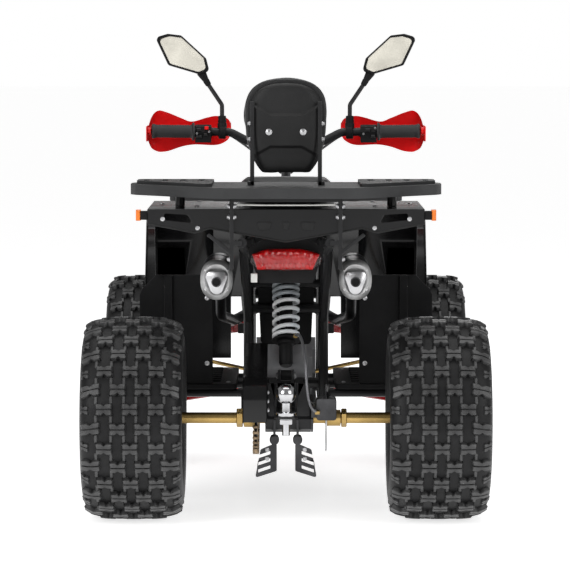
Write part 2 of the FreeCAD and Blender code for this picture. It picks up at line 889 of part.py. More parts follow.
def toothed_disc(x_middle, y, z, tip_radius, count, bore):
    """A chain wheel with pointed teeth and its bore."""
    corners = []
    for tooth in range(count):
        for offset, radius in ((0, tip_radius), (1 / 2, tip_radius - tooth_height)):
            angle = 2 * math.pi * (tooth + offset) / count
            corners.append((y + radius * math.cos(angle), z + radius * math.sin(angle)))
    x_low = x_middle - sprocket_thickness / 2
    wheel = side_plate(corners, 0, x_low, x_low + sprocket_thickness)
    return wheel.cut(shaft_hole_across(x_low - overrun, x_low + overrun, y, z, bore))


def axle_sprocket():
    tip = chain_pitch_radius - chain_roller_radius - chain_gap
    return toothed_disc(chain_x, rear_axle_y, rear_axle_z, tip, axle_tooth_count, axle_radius)


def engine_sprocket():
    tip = engine_sprocket_radius - chain_roller_radius - chain_gap
    return toothed_disc(chain_x, engine_sprocket_y, engine_sprocket_z, tip, engine_tooth_count,
                        output_shaft_radius)


def brake_disc():
    """Vented disc on the right of the axle carrier."""
    x_low = disc_x - disc_thickness / 2
    disc = bar_across(x_low, x_low + disc_thickness, rear_axle_y, rear_axle_z, disc_radius, wheel_sides)
    cutters = [shaft_hole_across(x_low - overrun, x_low + overrun, rear_axle_y, rear_axle_z, axle_radius)]
    for index in range(vent_count):
        angle = 2 * math.pi * index / vent_count
        y = rear_axle_y + vent_reach * math.cos(angle)
        z = rear_axle_z + vent_reach * math.sin(angle)
        cutters.append(bar_across(x_low - overrun, x_low + overrun, y, z, vent_radius, small_sides))
    return disc.cut(Part.makeCompound(cutters))


def belt_face(radius_change):
    """The closed loop round both chain wheels, moved outward by radius_change."""
    start = point(0, rear_axle_y, rear_axle_z)
    end = point(0, engine_sprocket_y, engine_sprocket_z)
    run = end - start
    base = math.atan2(run.z, run.y)
    half = math.pi / 2 - math.asin((chain_pitch_radius - engine_sprocket_radius) / run.Length)
    wraps = ((end, engine_sprocket_radius, base + half, half * 2, chain_front_count),
             (start, chain_pitch_radius, base - half, (math.pi - half) * 2, chain_rear_count))
    corners = []
    for centre, radius, first, sweep, flat_count in wraps:
        for index in range(flat_count + 1):
            angle = first - sweep * index / flat_count
            spoke = point(0, math.cos(angle), math.sin(angle))
            corners.append(centre + spoke * (radius + radius_change))
    return Part.Face(Part.makePolygon(corners + corners[:1]))


def chain():
    """The drive chain as one closed loop."""
    ring = belt_face(chain_roller_radius).cut(belt_face(-chain_roller_radius))
    loop = ring.extrude(point(chain_width, 0, 0))
    loop.translate(point(chain_x - chain_width / 2, 0, 0))
    return loop


def chain_guard():
    """Cover over the chain's top run and the back of the axle sprocket, open below."""
    outer = chain_pitch_radius + chain_roller_radius + guard_cover_gap + guard_cover_wall
    inner = outer - guard_cover_wall
    x_low = -guard_cover_left
    front_y = rear_upright_y - tube_radius * 3
    rise = shock_low_z + shock_body_radius * 4 - rear_axle_z
    skins = []
    for radius in (outer, inner):
        top = rear_axle_z + rise - (outer - radius)
        face = rounded_face([point(x_low, rear_axle_y - radius, rear_axle_z),
                             point(x_low, rear_axle_y - radius, rear_axle_z + radius),
                             point(x_low, rear_axle_y, rear_axle_z + radius * 1.1),
                             point(x_low, front_y, top),
                             point(x_low, front_y, rear_axle_z + radius * 0.9),
                             point(x_low, rear_axle_y, rear_axle_z)],
                            [0, radius * 0.8, radius * 0.3, 0, 0, 0])
        skins.append(face)
    shell = skins[0].extrude(point(guard_cover_width, 0, 0))
    room = skins[1].extrude(point(guard_cover_width - guard_cover_wall * 2, 0, 0))
    room.translate(point(guard_cover_wall, 0, 0))
    opening = slab(x_low + guard_cover_wall, x_low + guard_cover_width - guard_cover_wall,
                   rear_axle_y - inner, front_y, rear_axle_z - overrun, rear_axle_z + chain_pitch_radius)
    hub_room = bar_across(x_low - overrun, x_low + guard_cover_width + overrun, rear_axle_y, rear_axle_z,
                          carrier_radius + moving_gap)
    return shell.cut(room).cut(opening).cut(hub_room)


def brake_caliper():
    """Caliper behind the axle with a slot for the disc."""
    y_rear = rear_axle_y - disc_radius - caliper_depth * 0.3
    body = cross_plate([(disc_x - caliper_width / 2, rear_axle_z + moving_gap),
                        (disc_x + caliper_width / 2, rear_axle_z + moving_gap),
                        (disc_x + caliper_width / 2, rear_axle_z + moving_gap + caliper_height),
                        (disc_x - caliper_width / 2, rear_axle_z + moving_gap + caliper_height)],
                       caliper_height * 0.12, y_rear, y_rear + caliper_depth)
    slot_half = disc_thickness / 2 + moving_gap
    slot = slab(disc_x - slot_half, disc_x + slot_half, y_rear + caliper_depth * 0.15,
                y_rear + caliper_depth + overrun, rear_axle_z - overrun,
                rear_axle_z + caliper_height + overrun)
    plate_x = carrier_right_x + seat_gap
    plate_high = plate_x + lug_thickness
    ring = bar_across(plate_x, plate_high, rear_axle_y, rear_axle_z, carrier_radius)
    arm = slab(plate_x, plate_high, y_rear + caliper_depth * 0.3, rear_axle_y, rear_axle_z + moving_gap * 2,
               rear_axle_z + caliper_height * 0.6)
    foot = slab(plate_x, disc_x - caliper_width / 2 + lug_thickness, y_rear + caliper_depth * 0.3,
                y_rear + caliper_depth * 0.8, rear_axle_z + moving_gap * 2,
                rear_axle_z + caliper_height * 0.6)
    axle_room = bar_across(plate_x - overrun, plate_high + overrun, rear_axle_y, rear_axle_z,
                           axle_radius + moving_gap)
    return joined([body.cut(slot), joined([ring, arm]).cut(axle_room), foot])


def hitch_plate():
    """Upright plate behind the axle carrier with the tongue and two gussets."""
    above_axle = hitch_plate_bottom_z - rear_axle_z
    carrier_reach = carrier_radius - above_axle * math.tan(math.pi / bar_sides)
    face_y = rear_axle_y - carrier_reach - seat_gap
    upright = cross_plate([(hitch_left_x, hitch_plate_bottom_z), (hitch_right_x, hitch_plate_bottom_z),
                           (hitch_right_x, hitch_plate_top_z), (hitch_left_x, hitch_plate_top_z)],
                          hitch_plate_thickness, face_y - hitch_plate_thickness, face_y)
    end_y = ball_y - tongue_half_width
    tongue = flat_plate([(-tongue_half_width, face_y - hitch_plate_thickness / 2),
                         (tongue_half_width, face_y - hitch_plate_thickness / 2),
                         (tongue_half_width, end_y), (-tongue_half_width, end_y)],
                        [0, 0, tongue_half_width * 0.9, tongue_half_width * 0.9],
                        tongue_z, tongue_z + hitch_plate_thickness)
    gusset = side_plate([(face_y - hitch_plate_thickness / 2, tongue_z),
                         (face_y - hitch_plate_thickness / 2, hitch_plate_top_z),
                         (ball_y + ball_flange_radius * 1.5, tongue_z + hitch_plate_thickness),
                         (ball_y + ball_flange_radius * 1.5, tongue_z)], 0,
                        tongue_half_width - hitch_plate_thickness, tongue_half_width)
    hole = shaft_hole(point(0, ball_y, tongue_z - overrun), point(0, ball_y, tongue_z + overrun),
                      ball_shank_radius)
    return joined([upright, tongue] + both_sides([gusset])).cut(hole)


def hitch_ball():
    """Towing ball with flange, shank and nut."""
    top = tongue_z + hitch_plate_thickness
    low_angle = -math.acos(ball_neck_radius / ball_radius)
    profile = [(ball_shank_bottom_z, 0), (ball_shank_bottom_z, ball_shank_radius), (top, ball_shank_radius),
               (top, ball_flange_radius), (top + ball_flange_thickness, ball_flange_radius),
               (top + ball_flange_thickness, ball_neck_radius)]
    for index in range(ball_flats + 1):
        angle = low_angle + (math.pi / 2 - low_angle) * index / ball_flats
        profile.append((ball_centre_z + ball_radius * math.sin(angle), ball_radius * math.cos(angle)))
    body = turned(profile, point(0, ball_y, 0), upward, ball_sides)
    nut = bar(point(0, ball_y, tongue_z - ball_nut_height), point(0, ball_y, tongue_z), ball_nut_radius,
              small_sides)
    return joined([body, nut])


def guard_plates():
    """Slotted plates that hang under the axle carrier, one each side."""
    y_low = rear_axle_y - carrier_radius
    outer = slot_plate_x + slot_plate_width / 2
    inner = slot_plate_x - slot_plate_width / 2
    lean = slot_plate_width * 0.32
    plate = cross_plate([(inner, slot_plate_bottom_z + lean), (outer, slot_plate_bottom_z),
                         (outer - slot_plate_width / 4, slot_plate_top_z - lean),
                         (inner, slot_plate_top_z)],
                        slot_plate_thickness, y_low, y_low + slot_plate_thickness)
    pitch = (slot_plate_top_z - slot_plate_bottom_z - lean) / (slot_count + 1)
    for index in range(slot_count):
        low = slot_plate_bottom_z + lean + pitch * (index + 0.35)
        slot = cross_plate([(inner + slot_plate_width * 0.3, low),
                            (outer - slot_plate_width * 0.14, low - lean * 0.6),
                            (outer - slot_plate_width * 0.14, low - lean * 0.6 + pitch * 0.45),
                            (inner + slot_plate_width * 0.3, low + pitch * 0.45)], 0,
                           y_low - overrun, y_low + overrun)
        plate = plate.cut(slot)
    stalk_x = inner + lug_thickness
    stalk = slab(stalk_x - lug_thickness / 2, stalk_x + lug_thickness / 2, y_low, rear_axle_y,
                 slot_plate_top_z - lug_thickness * 4, rear_axle_z)
    boss_z = slot_plate_top_z + lug_thickness
    boss = bar(point(stalk_x, y_low, boss_z), point(stalk_x, rear_axle_y, boss_z), lug_thickness * 2)
    carrier = bar_across(0, carrier_right_x + overrun, rear_axle_y, rear_axle_z, carrier_radius + seat_gap)
    return both_sides([joined([plate, stalk, boss]).cut(carrier)])


def skid_plate():
    """Belly plate between the lower rails, under the cross tubes, with its nose turned up."""
    top = lower_rail_z - cross_tube_radius - seat_gap
    half = frame_half_width - tube_radius - seat_gap
    nose_y_low = front_upright_y + cross_tube_radius * 2
    return bent_sheet([(rear_upright_y + bend_radius, top), (nose_y_low, top),
                       (nose_y_low + bend_radius / 2, lower_rail_z + bend_radius)],
                      bend_radius / 3, fender_wall, -half, half)


def engine():
    """Crankcase, side covers and a finned barrel and head that lean forward a little."""
    case = side_plate([(crankcase_rear_y, crankcase_bottom_z + bend_radius / 2),
                       (crank_y, crankcase_bottom_z),
                       (crankcase_front_y, crankcase_bottom_z + bend_radius / 2),
                       (crankcase_front_y, crank_z + side_cover_radius / 2),
                       (crank_y + side_cover_radius / 2, crankcase_top_z),
                       (crankcase_rear_y + bend_radius, crankcase_top_z),
                       (crankcase_rear_y, crank_z + bend_radius / 2)],
                      bend_radius / 2, -crankcase_half_width, crankcase_half_width)
    cover_x = crankcase_half_width + side_cover_depth
    pieces = [case, bar_across(-cover_x, cover_x, crank_y, crank_z, side_cover_radius),
              bar_across(-cover_x + side_cover_depth * 0.8, cover_x - side_cover_depth * 0.4,
                         crankcase_rear_y / 4, crank_z, side_cover_radius * 0.8)]
    foot = point(0, crank_y, crankcase_top_z - barrel_fin)
    barrel = [bar(foot, foot + upward * (fin_pitch * (fin_count + 1) + barrel_fin), barrel_radius)]
    for index in range(fin_count):
        z = foot.z + barrel_fin * 2 + fin_pitch * index
        half = barrel_side / 2
        deep = half + (barrel_fin / 2 if index >= fin_count * 0.6 else 0)
        barrel.append(flat_plate([(-half, crank_y - deep), (half, crank_y - deep), (half, crank_y + deep),
                                  (-half, crank_y + deep)], 0, z, z + fin_thickness))
    top_z = foot.z + fin_pitch * (fin_count + 1) + barrel_fin
    barrel.append(bar_across(-barrel_radius, barrel_radius, crank_y, top_z - fin_pitch, barrel_fin * 1.5))
    tower = joined(barrel)
    tower.rotate(point(0, crank_y, crank_z), across, -barrel_tilt)
    return joined(pieces + [tower])


def head_port(x, reach):
    """A place on the head's front side, reach in front of the barrel's axis, in the leaning head."""
    place = point(x, crank_y + reach, crankcase_top_z + fin_pitch * fin_count * 0.8)
    turn = FreeCAD.Rotation(across, -barrel_tilt)
    centre = point(0, crank_y, crank_z)
    return centre + turn.multVec(place - centre)


def output_shaft():
    """Stub shaft that carries the drive sprocket out of the crankcase."""
    return bar_across(chain_x - sprocket_thickness, -crankcase_half_width, engine_sprocket_y,
                      engine_sprocket_z, output_shaft_radius)


def air_box():
    """Air box with its intake neck behind the barrel."""
    rear_y = rear_upright_y + cross_tube_radius + seat_gap
    box = side_plate([(rear_y, crankcase_top_z + bend_radius * 1.6),
                      (rear_y, upper_rail_z - tube_radius * 2),
                      (rear_y + bend_radius * 2, upper_rail_z - tube_radius * 2),
                      (rear_y + bend_radius * 2, crankcase_top_z + bend_radius * 1.6)], tube_radius,
                     -frame_half_width + tube_radius * 2, frame_half_width - tube_radius * 2)
    neck_z = crankcase_top_z + bend_radius * 2.1
    neck = bar(point(0, rear_y + bend_radius * 2, neck_z), point(0, crank_y - barrel_side * 0.2, neck_z),
               tube_radius * 1.6)
    return joined([box, neck])


def oval(y, width, height):
    """Corners of an upright oval round the muffler's axis."""
    spokes = ring_points(origin, along, 1, oval_sides)
    return [point(muffler_x + spoke.x * width / 2, y, muffler_z + spoke.z * height / 2) for spoke in spokes]


def muffler():
    """Oval body with its front cone, and the end cap with its lip and tapered rim."""
    front_y = muffler_rear_y + muffler_length
    cap_y = muffler_rear_y + muffler_cap
    cap_width = muffler_width + muffler_lip
    cap_height = muffler_height + muffler_lip
    return skin([oval(front_y + muffler_width, pipe_radius * 2, pipe_radius * 2),
                 oval(front_y, muffler_width, muffler_height), oval(cap_y, muffler_width, muffler_height),
                 oval(cap_y, cap_width, cap_height), oval(cap_y - muffler_cap / 2, cap_width, cap_height),
                 oval(muffler_rear_y, muffler_width * cap_rim_share, muffler_height * cap_rim_share)])


def exhaust():
    """The right exhaust: header, muffler and outlet."""
    front_y = muffler_rear_y + muffler_length
    mouth_z = muffler_z - outlet_drop
    mouth = point(muffler_x, muffler_rear_y - outlet_length, mouth_z)
    throat = point(muffler_x, muffler_rear_y + muffler_cap, mouth_z)
    reach = barrel_side / 2 + barrel_fin / 2
    port = head_port(barrel_radius / 2, reach + seat_gap)
    first = head_port(barrel_radius / 2, reach + bend_radius)
    rail_side = frame_half_width + tube_radius + pipe_radius * 2
    header = bent_bar([port, first, point(rail_side, crank_y + bend_radius, first.z - bend_radius),
                       point(muffler_x, crankcase_rear_y + bend_radius, first.z - bend_radius / 2),
                       point(muffler_x, front_y + muffler_width + bend_radius, muffler_z),
                       point(muffler_x, front_y + muffler_width / 2, muffler_z)], pipe_radius, bend_radius)
    shell = joined([header, muffler()]).cut(bar(mouth, throat, outlet_radius - outlet_wall))
    return joined([shell, tube(mouth, throat, outlet_radius, outlet_wall)])


def rear_fender():
    """Moulded rear fender: deck, two arch sides with turned-down edges and the shaped valance."""
    wall = fender_wall
    half = fender_half_width
    arch = bent_sheet([(fender_rear_y, fender_top_z), (fender_front_y, fender_top_z), (flap_y, flap_low_z)],
                      deck_bend * 2, wall, fender_inner_x, half)
    deck = slab(-fender_inner_x, fender_inner_x, fender_rear_y, deck_front_y, fender_top_z - wall,
                fender_top_z)
    lip = side_plate([(fender_rear_y, valance_outer_z), (fender_rear_y, fender_top_z - wall),
                      (fender_front_y, fender_top_z - wall), (flap_y, flap_low_z),
                      (flap_y - deck_bend, flap_low_z),
                      (fender_front_y - deck_bend, valance_outer_z)],
                     [0, 0, deck_bend * 2, 0, 0, deck_bend], half - wall, half)
    valance = cross_plate([(-half, fender_top_z), (-half, valance_outer_z),
                           (-fender_inner_x - deck_bend, valance_inner_z),
                           (-fender_inner_x + wall, valance_inner_z + deck_bend / 3), (0, valance_centre_z),
                           (fender_inner_x - wall, valance_inner_z + deck_bend / 3),
                           (fender_inner_x + deck_bend, valance_inner_z), (half, valance_outer_z),
                           (half, fender_top_z)], 0, fender_rear_y, fender_rear_y + wall)
    window_x = (fender_inner_x + half) / 2
    window = cross_plate([(window_x - deck_bend, valance_outer_z + wall),
                          (window_x + deck_bend, valance_outer_z + wall * 3),
                          (window_x + deck_bend, fender_top_z - wall * 3),
                          (window_x - deck_bend * 0.7, fender_top_z - wall * 4)],
                         wall, fender_rear_y - overrun, fender_rear_y + overrun)
    valance = valance.cut(Part.makeCompound(both_sides([window])))
    inner_lip = side_plate([(fender_rear_y + wall, valance_inner_z + deck_bend / 3),
                            (fender_rear_y + wall, fender_top_z - wall / 2),
                            (fender_front_y, fender_top_z - wall / 2),
                            (fender_front_y, valance_inner_z + deck_bend / 3)],
                           0, fender_inner_x, fender_inner_x + wall)
    return joined([deck, valance] + both_sides([arch, lip, inner_lip]))


def splash_panels():
    """Panels that close the wheel arches in front of the rear tyres."""
    lean = splash_outer_x - fender_half_width
    top_z = flap_low_z - fender_wall / 2
    sheet = cross_plate([(splash_inner_x, splash_low_z), (splash_outer_x, splash_low_z),
                         (splash_outer_x, top_z - lean),
                         (fender_half_width, top_z), (splash_inner_x, top_z)],
                        [fender_wall, fender_wall, lean / 2, 0, 0], flap_y, flap_y + fender_wall)
    rib = slab(fender_half_width - lean, fender_half_width - lean / 2, flap_y - fender_wall * 2, flap_y,
               splash_low_z + lean, top_z)
    return both_sides([joined([sheet, rib])])


def footboards():
    """Moulded footboards with grip ribs between the wheels."""
    top = board_z + board_thickness
    plate = flat_plate([(board_inner_x, board_rear_y), (board_outer_x, board_rear_y),
                        (board_outer_x, board_front_y), (board_inner_x, board_front_y)],
                       board_thickness, board_z, top)
    pieces = [plate]
    pitch = (board_front_y - board_rear_y) / (board_rib_count + 1)
    for index in range(board_rib_count):
        y = board_rear_y + pitch * (index + 1)
        pieces.append(slab(board_inner_x + board_thickness * 3, board_outer_x - board_thickness * 2,
                           y - board_rib / 2, y + board_rib / 2, top - board_rib / 2, top + board_rib))
    return both_sides([joined(pieces)])


def side_bars():
    """Tube hoops under the footboards, with their cross bars, from the lower rails."""
    z = board_z - side_bar_radius - seat_gap
    inner = frame_half_width + tube_radius + seat_gap
    inset = side_bar_radius * 2
    outer = board_outer_x - inset
    rear = board_rear_y + inset
    front = board_front_y - inset
    hoop = bent_bar([point(inner, rear, z), point(outer, rear, z), point(outer, front, z),
                     point(inner, front, z)], side_bar_radius, bend_radius)
    foot = slab(inner, inner + lug_thickness, rear - side_bar_radius, front + side_bar_radius,
                lower_rail_z - tube_radius, z)
    middle = bar(point(inner, 0, z), point(outer, 0, z), side_bar_radius)
    return both_sides([joined([hoop, foot, middle])])


def rear_rack():
    """Moulded rack: plate and rim, hollow below, with raised side pads and slots."""
    half = rack_half_width
    centre = rack_centre_half_width
    outline = [(-half, rack_front_y), (-half, rack_side_rear_y), (-centre, rear_end_y),
               (centre, rear_end_y), (half, rack_side_rear_y), (half, rack_front_y)]
    round_off = rack_depth * 1.4
    block = flat_plate(outline, round_off, rack_top_z - rack_depth, rack_top_z - rack_raise)
    wall = rack_wall
    inner = [(-half + wall, rack_front_y - wall), (-half + wall, rack_side_rear_y + wall / 2),
             (-centre + wall / 2, rear_end_y + wall), (centre - wall / 2, rear_end_y + wall),
             (half - wall, rack_side_rear_y + wall / 2), (half - wall, rack_front_y - wall)]
    room = flat_plate(inner, round_off - wall, rack_top_z - rack_depth - overrun,
                      rack_top_z - rack_raise - wall)
    pad = flat_plate([(rack_raised_x, rack_front_y - wall * 2), (rack_raised_x, rear_end_y + wall * 8),
                      (half - wall * 3, rack_side_rear_y + wall * 4),
                      (half - wall * 3, rack_front_y - wall * 2)],
                     wall * 3, rack_top_z - rack_raise * 2, rack_top_z)
    slots = []
    slot_y = (rack_front_y + rack_side_rear_y) / 2
    pitch = (half - rack_raised_x) / (rack_slot_count + 1 / 2)
    for index in range(rack_slot_count):
        x = rack_raised_x + pitch * (index + 1 / 2)
        slots.append(flat_plate([(x, slot_y - rack_depth * 1.2), (x + wall * 3, slot_y - rack_depth * 1.2),
                                 (x + wall * 3, rack_front_y - wall * 6), (x, rack_front_y - wall * 6)], 0,
                                rack_top_z - rack_depth - overrun, rack_top_z + overrun))
    return joined([block.cut(room)] + both_sides([pad])).cut(Part.makeCompound(both_sides(slots)))


def rack_supports():
    """Two upright flat bars with braces and the flat cross bar that carries the rack's middle."""
    low_z = rack_top_z - rack_depth - seat_gap
    half = support_width / 2
    upright = slab(support_x - support_thickness / 2, support_x + support_thickness / 2,
                   support_y - half, support_y + half, support_bottom_z, low_z)
    shelf = slab(-support_x, support_x, support_y - half, support_y + half,
                 low_z - support_thickness, low_z)
    brace_low = support_bottom_z + support_width * 3
    brace = cross_plate([(support_x, brace_low), (support_x, brace_low + support_width),
                         (fender_inner_x, valance_inner_z),
                         (fender_inner_x + half, valance_inner_z - half)], 0, support_y - half, support_y)
    clip = slab(tail_half_width, support_x, support_y - half, support_y + support_width,
                tail_rail_z - tube_radius / 2, tail_rail_z + tube_radius / 2)
    frame_bar = joined([upright, mirrored(upright), shelf, brace, mirrored(brace), clip, mirrored(clip)])
    rest = point((fender_inner_x + fender_half_width) / 2, rack_side_rear_y, fender_top_z + seat_gap)
    standoff = bar(rest, rest + upward * (rack_top_z - rack_raise * 2 - fender_top_z - seat_gap * 2),
                   support_width)
    return [frame_bar] + both_sides([standoff])


def backrest_outline(inset):
    """Rounded top and narrowed foot, seen from behind."""
    half = backrest_half_width - inset
    low = backrest_bottom_z + inset
    high = backrest_top_z - inset
    height = high - low
    return [(-half * 0.62, low), (half * 0.62, low), (half, low + height * 0.32),
            (half * 0.94, low + height * 0.72), (half * 0.7, high), (-half * 0.7, high),
            (-half * 0.94, low + height * 0.72), (-half, low + height * 0.32)]


def backrest_rounds():
    low_round = backrest_half_width * 0.3
    top_round = backrest_half_width * 0.55
    return [low_round, low_round, low_round, low_round * 2, top_round, top_round, low_round * 2, low_round]


def backrest_pad():
    """The backrest's cushion, in front of its shell, with a bevelled front."""
    back_y = backrest_y + seat_gap
    outline = rounded_outline([point(x, back_y, z) for x, z in backrest_outline(0)], backrest_rounds())
    middle = point(0, back_y, (backrest_bottom_z + backrest_top_z) / 2)
    depth = backrest_pad_depth - seat_gap
    edge = [corner + along * (depth - backrest_bevel) for corner in outline]
    inward = backrest_bevel / backrest_half_width
    front = [corner + (middle - corner) * inward + along * depth for corner in outline]
    return skin([outline, edge, front])


def backrest_shell():
    """Hard back of the backrest with its raised centre and two flat bars down to the rack."""
    rear = backrest_y - backrest_shell_depth
    inset = backrest_pad_depth * 0.18
    shell = cross_plate(backrest_outline(inset), backrest_rounds(), backrest_y - backrest_shell_depth * 0.6,
                        backrest_y)
    half = backrest_half_width - inset
    waist_z = (backrest_bottom_z + backrest_top_z) / 2
    crease = cross_plate([(-half * 0.5, backrest_bottom_z + inset * 3),
                          (half * 0.5, backrest_bottom_z + inset * 3),
                          (half * 0.78, waist_z), (half * 0.55, backrest_top_z - inset * 3),
                          (-half * 0.55, backrest_top_z - inset * 3), (-half * 0.78, waist_z)], inset, rear,
                         backrest_y)
    bar_low = rack_top_z - rack_raise + seat_gap
    strip = slab(backrest_bar_x, backrest_bar_x + support_thickness, rear - support_width / 2,
                 backrest_y - backrest_shell_depth * 0.5, bar_low, waist_z + inset * 2)
    strip = strip.cut(crease)
    foot = slab(backrest_bar_x, backrest_bar_x + support_width * 1.4, rear - support_width / 2,
                rear + support_width / 2, bar_low, bar_low + support_thickness)
    return joined([shell, crease] + both_sides([strip, foot]))


def seat():
    """Long seat, lowest at the rider's place and raised for the passenger."""
    length = seat_front_y - seat_rear_y
    shelf_z = fender_top_z + seat_gap
    body = side_plate([(seat_rear_y, shelf_z), (seat_rear_y, seat_rear_z),
                       (seat_rear_y + length * 0.4, seat_rear_z - seat_half_width * 0.08),
                       (seat_rear_y + length * 0.52, seat_low_z),
                       (seat_front_y, seat_low_z + seat_half_width * 0.04), (seat_front_y, seat_base_z),
                       (seat_rear_y + length * 0.5, seat_base_z), (deck_front_y + moving_gap * 2, shelf_z)],
                      [seat_half_width * 0.12, seat_half_width * 0.2, seat_half_width * 0.6,
                       seat_half_width, seat_half_width * 0.3, seat_half_width * 0.1,
                       seat_half_width * 0.5, 0],
                      -seat_half_width, seat_half_width)
    plan = flat_plate([(-seat_half_width * 0.82, seat_rear_y), (seat_half_width * 0.82, seat_rear_y),
                       (seat_half_width, seat_rear_y + length * 0.45),
                       (seat_half_width * 0.7, seat_front_y), (-seat_half_width * 0.7, seat_front_y),
                       (-seat_half_width, seat_rear_y + length * 0.45)],
                      seat_half_width * 0.5, seat_base_z - overrun, seat_rear_z + overrun)
    return body.common(plan)


def tail_light():
    """Faceted lens of the tail lamp."""
    half = tail_light_width / 2
    tall = tail_light_height / 2
    return cross_plate([(-half, tail_light_z + tall * 0.5), (-half * 0.86, tail_light_z - tall),
                        (half * 0.8, tail_light_z - tall), (half, tail_light_z + tall * 0.5),
                        (half * 0.45, tail_light_z + tall), (-half * 0.55, tail_light_z + tall)],
                       tall * 0.3, tail_light_y, tail_light_y + tail_light_depth)


def tail_panel():
    """Dark housing that carries the tail lamp between the tail rails."""
    front = tail_light_y + tail_light_depth
    half = tail_light_width / 2
    tall = tail_light_height / 2
    drop = tail_light_height * 0.7
    inner = tail_half_width - tube_radius - seat_gap
    plate = cross_plate([(-half * 0.8, tail_light_z - tall - drop),
                         (half * 0.8, tail_light_z - tall - drop),
                         (inner, tail_light_z + tall), (half * 0.5, valance_centre_z + seat_gap + tall / 2),
                         (-half * 0.5, valance_centre_z + seat_gap + tall / 2),
                         (-inner, tail_light_z + tall)],
                        fender_wall, front + seat_gap, front + seat_gap + fender_wall * 2)
    arm = slab(inner - fender_wall * 3, inner + fender_wall, front + seat_gap, front + tail_light_height,
               tail_rail_z - tube_radius, tail_rail_z + tube_radius * 0.4)
    return joined([plate] + both_sides([arm]))


def indicators():
    """Rear turn lamps on short stalks at the fender's outer corners."""
    lamp = bar(point(indicator_x, indicator_y - indicator_depth, indicator_z),
               point(indicator_x, indicator_y, indicator_z), indicator_radius)
    return both_sides([lamp])


def front_fender():
    """Moulded front fender: an arch over each front wheel joined by a front deck."""
    wall = fender_wall
    half = front_fender_half_width
    inner = front_fender_inner_x
    line = [(arch_rear_y, arch_low_z), (arch_rear_y, arch_knee_z), (arch_rear_top_y, arch_top_z),
            (arch_front_top_y, arch_top_z), (arch_front_y, arch_front_z)]
    arch = bent_sheet(line, arch_lip * 2, wall, inner, half)
    edge = bent_sheet(line, arch_lip * 2, -arch_lip, half - wall, half)
    deck = slab(-inner, inner, arch_front_top_y - arch_lip * 2, arch_front_top_y + arch_lip,
                arch_top_z - wall, arch_top_z)
    strap = bent_sheet(line[1:4], arch_lip * 2, wall, frame_half_width + tube_radius + seat_gap, inner)
    return joined([deck] + both_sides([arch, edge, strap]))


def cover_ring(y, half, low, top, inset):
    """The fairing's section at one place, moved inward by inset."""
    shoulder = half * cover_shoulder_share - inset / 2
    corners = [(-half + inset, low), (-half + inset, (low + top) / 2), (-shoulder, top - inset),
               (shoulder, top - inset), (half - inset, (low + top) / 2), (half - inset, low)]
    return [point(x, y, z) for x, z in corners]


def body_cover():
    """Centre fairing from the seat to the nose, hollow below, with a hole for the steering stem."""
    stem_y = steer_point(cover_top_z).y + stem_radius
    deck_y = arch_front_top_y - arch_lip * 2 - seat_gap
    stations = [(cover_rear_y, cover_half_width * cover_waist_share, seat_base_z, cover_top_z - cover_wall),
                (stem_y, cover_half_width, cover_side_z + tube_radius, cover_top_z),
                (cover_mid_y, cover_half_width, cover_side_z, cover_mid_top_z),
                (deck_y, cover_half_width * cover_nose_share, cover_side_z, cover_nose_z)]
    outer = skin([cover_ring(y, half, low, top, 0) for y, half, low, top in stations])
    inner = skin([cover_ring(y, half, low - cover_wall, top, cover_wall) for y, half, low, top in stations])
    hole = bar(steer_point(cover_side_z - overrun), steer_point(cover_top_z + overrun),
               hole_radius(stem_radius + moving_gap))
    return outer.cut(inner).cut(hole)


def nose_panel():
    """Front panel with openings for the grille and the lamps."""
    plate = cross_plate([(-nose_half_width * 0.6, nose_low_z), (nose_half_width * 0.6, nose_low_z),
                         (nose_half_width, headlight_z - headlight_radius),
                         (nose_half_width, nose_top_z - arch_lip / 2),
                         (nose_half_width * 0.6, nose_top_z), (-nose_half_width * 0.6, nose_top_z),
                         (-nose_half_width, nose_top_z - arch_lip / 2),
                         (-nose_half_width, headlight_z - headlight_radius)],
                        arch_lip / 2, nose_y, nose_y + fender_wall * 2)
    lamp_hole = bar(point(headlight_x, nose_y - overrun, headlight_z),
                    point(headlight_x, nose_y + overrun, headlight_z), headlight_radius + seat_gap,
                    lamp_sides)
    holes = both_sides([lamp_hole])
    holes.append(grille_window(0, nose_y - overrun, nose_y + overrun))
    return plate.cut(Part.makeCompound(holes))


def grille_window(inset, y_low, y_high):
    """The grille's opening in the nose panel."""
    top = headlight_z - headlight_radius - arch_lip / 2
    return cross_plate([(-nose_half_width * 0.46 + inset, nose_low_z + arch_lip / 2 + inset),
                        (nose_half_width * 0.46 - inset, nose_low_z + arch_lip / 2 + inset),
                        (nose_half_width * 0.62 - inset, top - inset),
                        (-nose_half_width * 0.62 + inset, top - inset)],
                       fender_wall, y_low, y_high)


def grille():
    """Slatted grille set into the nose panel."""
    plate = grille_window(seat_gap, nose_y, nose_y + fender_wall)
    low = nose_low_z + arch_lip / 2
    pitch = (headlight_z - headlight_radius - arch_lip / 2 - low) / slat_count
    slots = [slab(-nose_half_width * 0.38, nose_half_width * 0.38, nose_y - overrun, nose_y + overrun,
                  low + pitch * (index + 0.3), low + pitch * (index + 0.7)) for index in range(slat_count)]
    return plate.cut(Part.makeCompound(slots))


def headlights():
    """Two round lamps with stepped bowls."""
    back = point(headlight_x, nose_y - headlight_depth, headlight_z)
    bowl = headlight_depth * lamp_bowl_share
    front = headlight_depth + headlight_rim
    profile = [(0, 0), (0, headlight_radius / 2), (bowl, headlight_radius), (front, headlight_radius),
               (front + headlight_rim / 2, headlight_radius * lamp_face_share),
               (front + headlight_rim / 2, 0)]
    return both_sides([turned(profile, back, along, lamp_sides)])


